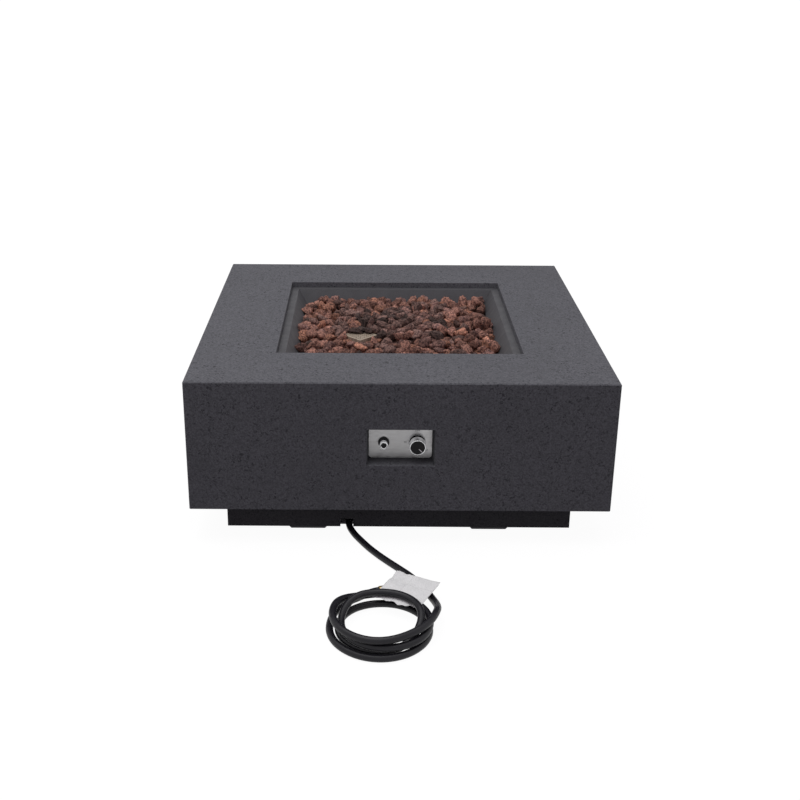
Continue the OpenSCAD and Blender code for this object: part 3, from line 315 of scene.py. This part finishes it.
def clear_guard(at, size):
    side = at[:, :2] - GUARD_AT
    inside = GUARD_REACH + 1.15 * size - np.abs(side).sum(1)
    low = (inside > 0) & (at[:, 2] < GUARD_TOP + 0.4 * size)
    at[low, :2] += 0.5 * np.sign(side[low]) * inside[low][:, None]
    front = (np.abs(side[:, 0]) < FRONT_HALF) & (side[:, 1] < 0) & (side[:, 1] > -FRONT_LENGTH)
    at[front, 2] = np.minimum(at[front, 2], GUARD_TOP + FRONT_OVER - UPRIGHT * size[front])


def settle_stones(rng):
    counts = UNDER, STONES - UNDER
    size = np.concatenate([rng.uniform(*span, count) for span, count in zip(SIZES, counts)])
    height = np.concatenate([rng.uniform(*span, count)
                             for span, count in zip(DROP_HEIGHTS, counts)])
    at = np.column_stack([rng.uniform(-DROP_HALF, DROP_HALF, (STONES, 2)), height])
    reach = TOUCH * (size[:, None] + size[None])
    for step in range(STEPS):
        at[:, 2] -= FAST_FALL if step < FAST_STEPS else SLOW_FALL
        if step % LOOK_EVERY == 0:
            squares = sum((at[:, k, None] - at[None, :, k]) ** 2 for k in range(3))
            first, second = np.nonzero(np.triu(squares < (reach + LOOK_PAST) ** 2, 1))
            touch = reach[first, second]
        apart = at[first] - at[second]
        distance = np.linalg.norm(apart, axis=1) + TINY
        push = apart * (PUSH * np.maximum(touch - distance, 0) / distance)[:, None]
        np.add.at(at, first, push)
        np.subtract.at(at, second, push)
        clear_burner(at, size)
        clear_guard(at, size)
        if step > UNDER_STEPS:
            under_limit = UNDER_TOP - SIDEWAYS * size[:UNDER]
            at[:UNDER, 2] = np.minimum(at[:UNDER, 2], under_limit)
        if step > FAST_STEPS:
            at[:, 2] = np.minimum(at[:, 2], HIGHEST + SLANT * at[:, 1] - UPRIGHT * size)
        limit = (pan_half(at[:, 2]) - SIDEWAYS * size)[:, None]
        at[:, :2] = np.clip(at[:, :2], -limit, limit)
        at[:, 2] = np.maximum(at[:, 2], PAN_FLOOR + UPRIGHT * size)
    return at, size


# Shapes of stones, and the stones made of them
SHAPES, LUMPS, CHIPS = 16, 8, 12
HEAP_SEED, SHAPE_SEED = 20, 5
FINE_STONES = 600
SNUG = 0.98
# Stones placed one by one: x and y from the guard's middle and size; those that lean on its front,
# those below them and the burnt shards on its top, each with height over its top in sizes
LEANING, LEANING_UP = [(-0.030, -0.020, 0.0110), (-0.017, -0.033, 0.0105), (-0.001, -0.047, 0.0115),
                       (0.018, -0.034, 0.0100), (0.031, -0.020, 0.0105)], -1.0
BELOW, BELOW_UP = [(0.003, -0.046, 0.0130), (-0.014, -0.040, 0.0130), (0.016, -0.040, 0.0125)], -2.4
SHARDS, SHARDS_UP = [(0.001, 0.020, 0.0112), (-0.017, 0.011, 0.0096), (0.017, 0.011, 0.0102),
                     (-0.001, 0.007, 0.0066), (-0.006, 0.030, 0.0095)], 0.52
SHARD_FLAT = 0.5


def sphere_grid(subdivisions):
    bm = bmesh.new()
    bmesh.ops.create_icosphere(bm, subdivisions=subdivisions, radius=1)
    verts = np.array([v.co[:] for v in bm.verts])
    faces = np.array([[v.index for v in f.verts] for f in bm.faces])
    bm.free()
    return verts, faces


def random_directions(rng, count):
    d = rng.normal(size=(count, 3))
    return d / np.linalg.norm(d, axis=1)[:, None]


def stone_shape(rng, sphere):
    """A broken, pitted stone of mean radius 1."""
    radius = np.ones(len(sphere))
    for d in random_directions(rng, LUMPS):
        radius += rng.uniform(-0.34, 0.26) * np.exp(rng.uniform(3, 9) * (sphere @ d - 1))
    p = sphere * radius[:, None]
    for d in random_directions(rng, CHIPS):
        p -= d * 0.9 * np.maximum(p @ d - rng.uniform(0.55, 0.82), 0)[:, None]
    shift = Vector(rng.uniform(-50, 50, 3))
    rough = np.array([noise.fractal(Vector(q) * 2.6 + shift, 0.7, 2.1, 5) for q in p])
    pits = np.array([noise.noise(Vector(q) * 5.0 + shift) for q in p])
    p *= (1 + 0.17 * rough - 0.26 * np.maximum(pits - 0.10, 0))[:, None]
    p *= (rng.uniform(1.0, 1.3), rng.uniform(0.74, 1.0), rng.uniform(0.58, 0.86))
    return p / np.linalg.norm(p, axis=1).mean()


BROWN, MAUVE, ORANGE = (0.262, 0.141, 0.110), (0.212, 0.124, 0.106), (0.345, 0.175, 0.122)
GREY, BURNT = (0.175, 0.112, 0.096), (0.066, 0.047, 0.042)
PALEST, DARKEST = 1.58, 0.58
# Middles and radii of the burnt places, and of the sooty one round them
BURNT_SPOTS = [(-0.072, 0.004, 0.040), (0.090, -0.004, 0.026), (0.010, 0.020, 0.022)]
SOOT_AT, SOOT_REACH = (-0.014, 0.020), (0.118, 0.105)
# Shares of burnt stones, of grey and mauve ones in the soot and out of it, and of orange ones
BURNT_IN, BURNT_OUT = 0.75, 0.03
GREY_IN, GREY_OUT, MAUVE_OUT, ORANGE_FROM = 0.70, 0.06, 0.26, 0.88


def stone_colour(rng, at):
    burnt = max(math.exp(-((at[0] - x) ** 2 + (at[1] - y) ** 2) / r ** 2)
                for x, y, r in BURNT_SPOTS)
    aside, ahead = ((at[k] - SOOT_AT[k]) / SOOT_REACH[k] for k in (0, 1))
    soot = math.exp(-aside ** 4 - ahead ** 4)
    roll = rng.random()
    if rng.random() < BURNT_IN * burnt + BURNT_OUT:
        base = BURNT
    elif roll < GREY_IN * soot + GREY_OUT:
        base = GREY
    elif roll < GREY_IN * soot + MAUVE_OUT:
        base = MAUVE
    elif roll > ORANGE_FROM:
        base = ORANGE
    else:
        base = BROWN
    return np.array(base) * rng.uniform(DARKEST, PALEST)


def stone_heap(name, stones, stone_faces):
    """One piece from stones of the same faces, with their colours."""
    count = len(stones[0][0])
    faces = np.vstack([stone_faces + i * count for i in range(len(stones))])
    rock = mesh_object(name, np.vstack([placed for placed, _ in stones]), faces.tolist())
    tints = np.repeat([[*tint, 1.0] for _, tint in stones], count, axis=0)
    layer = rock.data.color_attributes.new("tint", "FLOAT_COLOR", "POINT")
    layer.data.foreach_set("color", tints.astype(np.float32).ravel())
    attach(rock, "table")
    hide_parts("lava_rocks")
    return rock


def make_stones():
    """Two pieces: coarse stones underneath and, of finer meshes, those that show."""
    rng = np.random.default_rng(HEAP_SEED)
    at, size = settle_stones(rng)
    spheres = [sphere_grid(2), sphere_grid(3)]
    shapes = []
    for sphere, _ in spheres:
        shape_rng = np.random.default_rng(SHAPE_SEED)
        shapes.append([stone_shape(shape_rng, sphere) for _ in range(SHAPES)])
    by_hand = ((LEANING, LEANING_UP), (BELOW, BELOW_UP), (SHARDS, SHARDS_UP))
    hand_at = [(GUARD_AT[0] + x, GUARD_AT[1] + y, GUARD_TOP + up * r)
               for group, up in by_hand for x, y, r in group]
    at = np.vstack([at, hand_at])
    size = np.append(size, [r for *_, r in LEANING + BELOW + SHARDS])
    first_shard = len(at) - len(SHARDS)
    fine = np.zeros(len(at), int)
    fine[np.argsort(-at[:, 2] - size)[:FINE_STONES]] = 1
    heaps = ([], [])
    for i in range(len(at)):
        shape = shapes[fine[i]][int(rng.integers(SHAPES))]
        axis = Vector(random_directions(rng, 1)[0])
        turn = np.array(Matrix.Rotation(rng.uniform(0, 2 * math.pi), 3, axis))
        placed = shape @ turn.T * size[i] * SNUG
        if i >= first_shard:
            placed[:, 2] *= SHARD_FLAT
        placed += at[i]
        placed[:, 2] -= max(0.0, placed[:, 2].max() - ROCK_TOP)
        tint = BURNT if i >= first_shard else stone_colour(rng, at[i])
        heaps[fine[i]].append((placed, tint))
    return [stone_heap(name, stones, faces) for name, stones, (_, faces) in
            zip(("lava_rock_under", "lava_rock"), heaps, spheres)]


rocks = make_stones()


# Materials
WHITE = (1, 1, 1, 1)
EVEN = (1, 1, 1)
# Corners of the control recess in the front, and the limits of the shade painted in it: past its
# side walls, where it fades out, past its mouth and past its back
RECESS_LOW = np.array([-63.0, -392.5, 164.25]) * MM
RECESS_HIGH = np.array([63.0, -365.5, 237.25]) * MM
PAST_WALL, PAST_WALL_END, PAST_MOUTH, PAST_BACK = 0.0005, 0.0010, 0.001, 0.010


def add(tree, kind, inputs=None, **settings):
    """A new node; an input is a value or another node's output."""
    node = tree.nodes.new("ShaderNode" + kind)
    for key, value in settings.items():
        setattr(node, key, value)
    for key, value in (inputs or {}).items():
        if isinstance(value, bpy.types.NodeSocket):
            tree.links.new(value, node.inputs[key])
        else:
            node.inputs[key].default_value = value
    return node


def new_material(name, **values):
    material = bpy.data.materials.new(name)
    material.use_nodes = True
    tree = material.node_tree
    shader = tree.nodes["Principled BSDF"]
    for key, value in values.items():
        shader.inputs[key.replace("_", " ")].default_value = value
    return material, tree, shader


def noise_value(tree, vector, scale, detail=3.0, roughness=0.5, distortion=0.0):
    return add(tree, "TexNoise", {"Vector": vector, "Scale": scale, "Detail": detail,
                                  "Roughness": roughness, "Distortion": distortion}).outputs["Fac"]


def spread(tree, value, low, high, to_low=0.0, to_high=1.0):
    return add(tree, "MapRange", {"Value": value, "From Min": low, "From Max": high,
                                  "To Min": to_low, "To Max": to_high},
               interpolation_type="SMOOTHSTEP").outputs["Result"]


def maths(tree, operation, a, b=0.0):
    return add(tree, "Math", {0: a, 1: b}, operation=operation).outputs[0]


def mix_colour(tree, factor, a, b, blend="MIX"):
    node = add(tree, "Mix", {0: factor, 6: a, 7: b}, data_type="RGBA", blend_type=blend)
    return node.outputs[2]


def place(tree, scale=EVEN):
    where = add(tree, "TexCoord").outputs["Object"]
    return add(tree, "Mapping", {"Vector": where, "Scale": scale}).outputs["Vector"]


def rgba(colour, k=1.0):
    return (colour[0] * k, colour[1] * k, colour[2] * k, 1.0)


def bump(tree, shader, height, strength, distance):
    node = add(tree, "Bump", {"Strength": strength, "Distance": distance, "Height": height})
    tree.links.new(node.outputs["Normal"], shader.inputs["Normal"])


def pit_spots(tree, where, scale, share, radius):
    """Round pits in some of the cells of a random pattern."""
    cells = add(tree, "TexVoronoi", {"Vector": where, "Scale": scale})
    chosen = add(tree, "SeparateColor", {0: cells.outputs["Color"]})
    size = spread(tree, chosen.outputs[1], 0.0, 1.0, 0.5 * radius, radius)
    past = maths(tree, "SUBTRACT", cells.outputs["Distance"], size)
    inside = spread(tree, past, -0.04, 0.05, 1.0, 0.0)
    return maths(tree, "MULTIPLY", inside, maths(tree, "LESS_THAN", chosen.outputs[0], share))


def painted_recess_shade(tree, where):
    """Painted shade mask: 1 at the back of the control recess, 0 at its mouth and elsewhere."""
    x, y, z = add(tree, "SeparateXYZ", {0: where}).outputs
    middle = (RECESS_LOW + RECESS_HIGH) / 2
    half = (RECESS_HIGH - RECESS_LOW) / 2
    beside = []
    for value, k in ((x, 0), (z, 2)):
        off = maths(tree, "ABSOLUTE", maths(tree, "SUBTRACT", value, middle[k]))
        beside.append(spread(tree, off, half[k] + PAST_WALL, half[k] + PAST_WALL_END, 1.0, 0.0))
    deep = maths(tree, "MULTIPLY", spread(tree, y, RECESS_LOW[1] + PAST_MOUTH, RECESS_HIGH[1]),
                 maths(tree, "LESS_THAN", y, RECESS_HIGH[1] + PAST_BACK))
    return maths(tree, "MULTIPLY", maths(tree, "MULTIPLY", *beside), deep)


def concrete_material(name, colour, fleck, painted_shade=0.0):
    """Clouded concrete with dark pits; the last argument is painted shade in the control recess."""
    material, tree, shader = new_material(name, Specular_IOR_Level=0.2)
    where = place(tree)
    cloud = noise_value(tree, where, 5.0, 5.0, 0.6)
    mottle = noise_value(tree, where, 60.0, 5.0, 0.62)
    grain = noise_value(tree, where, 300.0, 4.0, 0.65)
    patch = spread(tree, noise_value(tree, where, 20.0, 4.0, 0.6), 0.36, 0.60, 0.45, 1.0)
    marks = spread(tree, noise_value(tree, where, 200.0, 2.5, 0.6, 0.9), 0.570, 0.635)
    spots = maths(tree, "MULTIPLY", pit_spots(tree, where, 110.0, 0.22, 0.24), 0.6)
    pits = maths(tree, "MULTIPLY", maths(tree, "MAXIMUM", marks, spots), patch)
    clouded = spread(tree, cloud, 0.25, 0.75)
    tone = mix_colour(tree, clouded, rgba(colour, 0.90), rgba(colour, 1.10))
    mottled = spread(tree, mottle, 0.35, 0.65, 0.0, 0.6)
    tone = mix_colour(tree, mottled, tone, rgba(colour, 1.28))
    grained = spread(tree, grain, 0.36, 0.64, 0.80, 0.0)
    tone = mix_colour(tree, grained, tone, rgba(colour, 0.63))
    tone = mix_colour(tree, maths(tree, "MULTIPLY", pits, 0.72), tone, rgba(fleck))
    # Painted shade: the walls and back of the control recess darkened towards the fleck colour
    if painted_shade:
        recess_shaded = maths(tree, "MULTIPLY", painted_recess_shade(tree, where), painted_shade)
        tone = mix_colour(tree, recess_shaded, tone, rgba(fleck))
    tree.links.new(tone, shader.inputs["Base Color"])
    tree.links.new(spread(tree, mottle, 0.3, 0.7, 0.78, 0.92), shader.inputs["Roughness"])
    height = maths(tree, "SUBTRACT", maths(tree, "MULTIPLY", grain, 0.25), pits)
    bump(tree, shader, height, 0.35, 0.0008)
    return material


def metal_material(name, colour, roughness, stretch, scale, spots=0.12, bumps=0.05):
    """Metal with fine marks along one direction, worn spots and an uneven polish."""
    material, tree, shader = new_material(name, Metallic=1.0)
    lines = noise_value(tree, place(tree, stretch), scale, 4.0, 0.6)
    wear = noise_value(tree, place(tree), 60.0, 4.0, 0.6)
    lined = spread(tree, lines, 0.25, 0.75)
    tone = mix_colour(tree, lined, rgba(colour, 1 - spots), rgba(colour, 1 + spots * 0.6))
    worn = spread(tree, wear, 0.5, 0.75, 0.0, 0.35)
    tone = mix_colour(tree, worn, tone, rgba(colour, 1 - 2 * spots))
    tree.links.new(tone, shader.inputs["Base Color"])
    polish = spread(tree, wear, 0.3, 0.7, roughness * 0.85, roughness * 1.25)
    tree.links.new(polish, shader.inputs["Roughness"])
    bump(tree, shader, lines, bumps, 0.0003)
    return material


def dull_material(name, colour, roughness, scale, spots, bumps, dust, shine=0.5):
    """Plastic, rubber, paint or ceramic with a fine grain and a little dust."""
    material, tree, shader = new_material(name, Specular_IOR_Level=shine)
    grain = noise_value(tree, place(tree), scale, 4.0, 0.6)
    cloud = noise_value(tree, place(tree), scale / 12, 4.0, 0.6)
    grained = spread(tree, grain, 0.3, 0.7)
    tone = mix_colour(tree, grained, rgba(colour, 1 - spots), rgba(colour, 1 + spots))
    tone = mix_colour(tree, spread(tree, cloud, 0.52, 0.8, 0.0, 0.35), tone, rgba(dust))
    tree.links.new(tone, shader.inputs["Base Color"])
    polish = spread(tree, cloud, 0.3, 0.7, roughness * 0.88, roughness * 1.12)
    tree.links.new(polish, shader.inputs["Roughness"])
    bump(tree, shader, grain, bumps, 0.0004)
    return material


def rock_material():
    """Each stone's own colour, with light and dark places, dark grains and dark holes."""
    material, tree, shader = new_material("lava_rock", Specular_IOR_Level=0.15)
    tint = add(tree, "VertexColor", layer_name="tint").outputs["Color"]
    where = place(tree)
    fine = noise_value(tree, where, 420.0, 5.0, 0.65)
    coarse = noise_value(tree, where, 230.0, 4.0, 0.6)
    holes = add(tree, "TexVoronoi", {"Vector": where, "Scale": 330.0}).outputs["Distance"]
    holes = spread(tree, holes, 0.10, 0.34)
    shade = mix_colour(tree, spread(tree, coarse, 0.36, 0.64), (0.42, 0.42, 0.45, 1),
                       (1.75, 1.66, 1.58, 1))
    tone = mix_colour(tree, 1.0, tint, shade, "MULTIPLY")
    grained = spread(tree, fine, 0.3, 0.55, 0.7, 0.0)
    tone = mix_colour(tree, grained, tone, (0.02, 0.014, 0.013, 1))
    in_hole = maths(tree, "MULTIPLY", maths(tree, "SUBTRACT", 1.0, holes), 0.8)
    tone = mix_colour(tree, in_hole, tone, (0.012, 0.009, 0.008, 1))
    tree.links.new(tone, shader.inputs["Base Color"])
    tree.links.new(spread(tree, fine, 0.3, 0.7, 0.82, 1.0), shader.inputs["Roughness"])
    height = maths(tree, "ADD", maths(tree, "MULTIPLY", holes, 0.8), fine)
    bump(tree, shader, height, 0.8, 0.0012)
    return material


FOLD_HALF = 0.0011


def fold_line(tree, where, angle, at):
    """0 on a straight fold through a point of the floor plan, 1 away from it."""
    across = (math.cos(angle), math.sin(angle), 0.0)
    along = add(tree, "VectorMath", {0: where, 1: across}, operation="DOT_PRODUCT")
    fold = across[0] * at[0] + across[1] * at[1]
    off = maths(tree, "ABSOLUTE", maths(tree, "SUBTRACT", along.outputs["Value"], fold))
    return spread(tree, off, 0.0, FOLD_HALF)


def paper_material():
    """Stained white paper with fibres and two straight folds, with painted shade along the folds.
    """
    material, tree, shader = new_material("tag_paper", Roughness=0.72)
    where = place(tree)
    fibre = noise_value(tree, place(tree, (1, 0.12, 1)), 900.0, 3.0, 0.6)
    stain = noise_value(tree, where, 34.0, 4.0, 0.6)
    middle = TAG_AT * MM
    long_fold = fold_line(tree, where, TAG_TURN, middle - (0.010, 0, 0))
    cross_fold = fold_line(tree, where, TAG_TURN + math.pi / 2, middle + (0.004, 0.016, 0))
    crease = maths(tree, "MULTIPLY", long_fold, cross_fold)
    tone = mix_colour(tree, spread(tree, stain, 0.35, 0.7), (0.90, 0.93, 0.90, 1),
                      (0.96, 0.985, 0.955, 1))
    fibrous = spread(tree, fibre, 0.4, 0.7, 0.0, 0.3)
    tone = mix_colour(tree, fibrous, tone, (0.62, 0.62, 0.62, 1))
    # Painted shade: the paper darkened along the folds
    crease_shade = spread(tree, crease, 0.0, 1.0, 0.25, 0.0)
    tone = mix_colour(tree, crease_shade, tone, (0.5, 0.5, 0.5, 1))
    tree.links.new(tone, shader.inputs["Base Color"])
    height = maths(tree, "ADD", crease, maths(tree, "MULTIPLY", fibre, 0.2))
    bump(tree, shader, height, 0.45, 0.0006)
    return material


# By slot, what metal_material takes
METALS = {
    "steel": ("brushed_steel", (0.38, 0.375, 0.38), 0.34, (0.03, 1, 1), 900.0),
    "zinc": ("zinc_plate", (0.60, 0.61, 0.60), 0.38, EVEN, 160.0, 0.16),
    "chrome": ("chrome_plate", (0.78, 0.78, 0.80), 0.10, EVEN, 250.0, 0.05, 0.02),
    # dark_chrome: a darker copy of the chrome, painted shade and dark reflections for the knob's
    # bezel
    "dark_chrome": ("dark_chrome", (0.30, 0.30, 0.31), 0.16, EVEN, 250.0, 0.08, 0.02),
    "brass": ("brass", (0.50, 0.37, 0.17), 0.36, EVEN, 300.0, 0.14),
    "copper": ("copper", (0.56, 0.27, 0.15), 0.34, EVEN, 300.0, 0.18),
    "aluminium": ("aluminium", (0.62, 0.62, 0.63), 0.36, (1, 0.05, 1), 500.0, 0.10),
}
# By slot, what dull_material takes
DULLS = {
    "grey_steel": ("pan_paint", (0.065, 0.065, 0.070), 0.60, 520.0, 0.12, 0.12,
                   (0.086, 0.082, 0.082), 0.25),
    "sooty_steel": ("sooty_steel", (0.370, 0.310, 0.235), 0.62, 240.0, 0.30, 0.10,
                    (0.10, 0.085, 0.075), 0.3),
    "rubber": ("black_rubber", (0.0075, 0.0070, 0.0105), 0.40, 260.0, 0.2, 0.06,
               (0.013, 0.012, 0.017), 0.30),
    "black_plastic": ("black_plastic", (0.010, 0.010, 0.011), 0.38, 600.0, 0.2, 0.05,
                      (0.018, 0.018, 0.019), 0.15),
    "white_ink": ("white_inlay", (0.80, 0.80, 0.79), 0.5, 500.0, 0.06, 0.04, (0.6, 0.6, 0.6)),
    "ceramic": ("white_ceramic", (0.72, 0.71, 0.68), 0.45, 400.0, 0.05, 0.05, (0.55, 0.52, 0.47)),
}
MATERIALS = {
    # concrete: its last value is the strength of the painted shade in the control recess
    "concrete": concrete_material("concrete", (0.128, 0.132, 0.142), (0.022, 0.022, 0.025), 0.8),
    # dark_concrete: the same concrete made darker, painted shade for the plinth under the overhang
    "dark_concrete": concrete_material("dark_concrete", (0.060, 0.060, 0.064),
                                       (0.015, 0.015, 0.017)),
    "paper": paper_material(),
    "lava": rock_material(),
}
MATERIALS.update({slot: metal_material(*values) for slot, values in METALS.items()})
MATERIALS.update({slot: dull_material(*values) for slot, values in DULLS.items()})


def paint(obj, material):
    obj.data.materials.clear()
    obj.data.materials.append(material)


for part in frame["record"]["subparts"]:
    paint(nodes[part["node"]], MATERIALS[part["material_slot"]])
paint(nodes["igniter_guard"], MATERIALS["sooty_steel"])
# Painted shade and dark reflections: the bezel gets the darkened copy of the chrome
paint(nodes["knob_bezel"], MATERIALS["dark_chrome"])
paint(hose, MATERIALS["rubber"])
paint(tag, MATERIALS["paper"])
for rock in rocks:
    paint(rock, MATERIALS["lava"])


# Rounded edges on the small turned pieces, their widths in millimetres
EDGES = (("knob_body", 0.5), ("knob_cap", 0.6), ("knob_bezel", 0.6), ("igniter_cap", 0.5),
         ("igniter_body", 0.4), ("igniter_button", 0.4), ("hose_nut", 0.4),
         ("hose_end_fitting", 0.4))
EDGE_SEGMENTS, EDGE_ANGLE, WELD_WITHIN = 3, math.radians(40), 0.00001


def soften(name, width):
    piece = nodes[name]
    weld = piece.modifiers.new("weld", "WELD")
    weld.merge_threshold = WELD_WITHIN
    edge = piece.modifiers.new("edge", "BEVEL")
    edge.width = width * MM
    edge.segments = EDGE_SEGMENTS
    edge.limit_method = "ANGLE"
    edge.angle_limit = EDGE_ANGLE
    normals = piece.modifiers.new("normals", "WEIGHTED_NORMAL")
    normals.keep_sharp = False


for name, width in EDGES:
    soften(name, width)


# Springs behind the knob and the igniter's button. Lengths in millimetres: the radius of the wire
# and the height of both controls.
WIRE_R, WIRE_SIDES, TURN_POINTS, CONTROLS_Z = 0.5, 10, 24, 200.75


def make_spring(name, node, x, y0, y1, radius, turns):
    angles = np.linspace(0, 2 * math.pi * turns, TURN_POINTS * turns + 1)
    path = np.column_stack([x + radius * np.cos(angles),
                            np.linspace(y0 + WIRE_R, y1 - WIRE_R, len(angles)),
                            CONTROLS_Z + radius * np.sin(angles)]) * MM
    spring = mesh_object(name, *tube_mesh(path, WIRE_R * MM, WIRE_SIDES, (0, 1, 0)))
    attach(spring, "table")
    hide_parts(node)
    paint(spring, MATERIALS["steel"])
    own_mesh(spring)


make_spring("stem_return_spring", "stem_spring", 31, -355, -333, 5.5, 6)
make_spring("button_return_spring", "igniter_spring", -31, -375, -364.5, 3.2, 5)


# Plain marks on the panel: their places, size and thickness in millimetres
PANEL_Y = -365.5
MARKS = (("OFF", 31.0, 222.6), ("HI", 9.0, 199.2), ("LO", 47.5, 183.6))
MARK_SIZE, MARK_T = 5.2, 0.05


def make_marks():
    words = []
    for word, x, z in MARKS:
        curve = bpy.data.curves.new("mark_" + word, "FONT")
        curve.body = word
        curve.size = MARK_SIZE * MM
        curve.align_x = "CENTER"
        curve.extrude = MARK_T * MM
        letters = bpy.data.objects.new("mark_" + word, curve)
        scene.collection.objects.link(letters)
        at = Matrix.Translation((x * MM, (PANEL_Y - MARK_T) * MM, z * MM))
        letters.matrix_world = at @ Matrix.Rotation(math.pi / 2, 4, "X")
        words.append(letters)
    bpy.context.view_layer.update()
    depsgraph = bpy.context.evaluated_depsgraph_get()
    bm = bmesh.new()
    for letters in words:
        mesh = bpy.data.meshes.new_from_object(letters.evaluated_get(depsgraph))
        mesh.transform(letters.matrix_world)
        bm.from_mesh(mesh)
        bpy.data.meshes.remove(mesh)
        curve = letters.data
        bpy.data.objects.remove(letters)
        bpy.data.curves.remove(curve)
    mesh = bpy.data.meshes.new("panel_marks")
    bm.to_mesh(mesh)
    bm.free()
    marks = bpy.data.objects.new("panel_marks", mesh)
    scene.collection.objects.link(marks)
    paint(marks, MATERIALS["black_plastic"])
    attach(marks, "table")


make_marks()


# Studio: white floor and background, soft light from above
AMBIENT, AMBIENT_POWER = (1.0, 0.89, 1.02, 1), 0.36
FLOOR_REACH, FLOOR_Z, FLOOR_GLOW = 30.0, -0.0002, 1.06
FLOOR_PALE, FLOOR_DIM = (0.95, 0.95, 0.95, 1), (0.16, 0.16, 0.16, 1)
# Where the floor is shaded: under the plinth in full, and round it by a share that fades out
UNDER_HALF, SHADE, SHADE_FROM, SHADE_TO = 0.3125, 0.10, 0.9, 2.2
LAMP_AT, LAMP_AIM, LAMP_SIZE, LAMP_POWER = (-0.5, -0.3, 3.0), (0, 0, 0.3), 2.6, 48.0


def view_ray(tree):
    """1 for rays that show a surface, 0 for those that light another one."""
    path = add(tree, "LightPath")
    seen = maths(tree, "MAXIMUM", path.outputs["Is Camera Ray"], path.outputs["Is Glossy Ray"])
    return maths(tree, "MAXIMUM", seen, path.outputs["Is Transmission Ray"])


def make_world():
    world = bpy.data.worlds.new("studio")
    world.use_nodes = True
    scene.world = world
    tree = world.node_tree
    tree.nodes.clear()
    shown = add(tree, "Background", {"Color": WHITE, "Strength": 1.0}).outputs[0]
    light = add(tree, "Background", {"Color": AMBIENT, "Strength": AMBIENT_POWER}).outputs[0]
    both = add(tree, "MixShader", {0: view_ray(tree), 1: light, 2: shown})
    out = add(tree, "OutputWorld", {"Surface": both.outputs[0]})
    out.is_active_output = True


def floor_material():
    material = bpy.data.materials.new("floor")
    material.use_nodes = True
    tree = material.node_tree
    tree.nodes.clear()
    glow = add(tree, "Emission", {"Color": WHITE, "Strength": FLOOR_GLOW}).outputs[0]
    pale = add(tree, "BsdfDiffuse", {"Color": FLOOR_PALE}).outputs[0]
    dim = add(tree, "BsdfDiffuse", {"Color": FLOOR_DIM}).outputs[0]
    where = place(tree)
    far = add(tree, "VectorMath", {0: where}, operation="LENGTH").outputs["Value"]
    across = add(tree, "SeparateXYZ", {0: where})
    aside = [maths(tree, "ABSOLUTE", across.outputs[axis]) for axis in "XY"]
    under = maths(tree, "LESS_THAN", maths(tree, "MAXIMUM", *aside), UNDER_HALF)
    shade = maths(tree, "MAXIMUM", spread(tree, far, SHADE_FROM, SHADE_TO, SHADE, 0.0), under)
    seen = add(tree, "MixShader", {0: shade, 1: glow, 2: pale}).outputs[0]
    both = add(tree, "MixShader", {0: view_ray(tree), 1: dim, 2: seen})
    add(tree, "OutputMaterial", {"Surface": both.outputs[0]})
    return material


def make_floor():
    corners = [(x * FLOOR_REACH, y * FLOOR_REACH, FLOOR_Z)
               for x, y in ((-1, -1), (1, -1), (1, 1), (-1, 1))]
    floor = mesh_object("floor", corners, [(0, 1, 2, 3)], smooth=False)
    paint(floor, floor_material())


def make_lamp():
    data = bpy.data.lights.new("overhead", "AREA")
    data.shape = "RECTANGLE"
    data.size = data.size_y = LAMP_SIZE
    data.energy = LAMP_POWER
    lamp = bpy.data.objects.new("overhead", data)
    direction = Vector(LAMP_AIM) - Vector(LAMP_AT)
    turn = direction.to_track_quat("-Z", "Y").to_matrix().to_4x4()
    lamp.matrix_world = Matrix.Translation(LAMP_AT) @ turn
    scene.collection.objects.link(lamp)


make_world()
make_floor()
make_lamp()
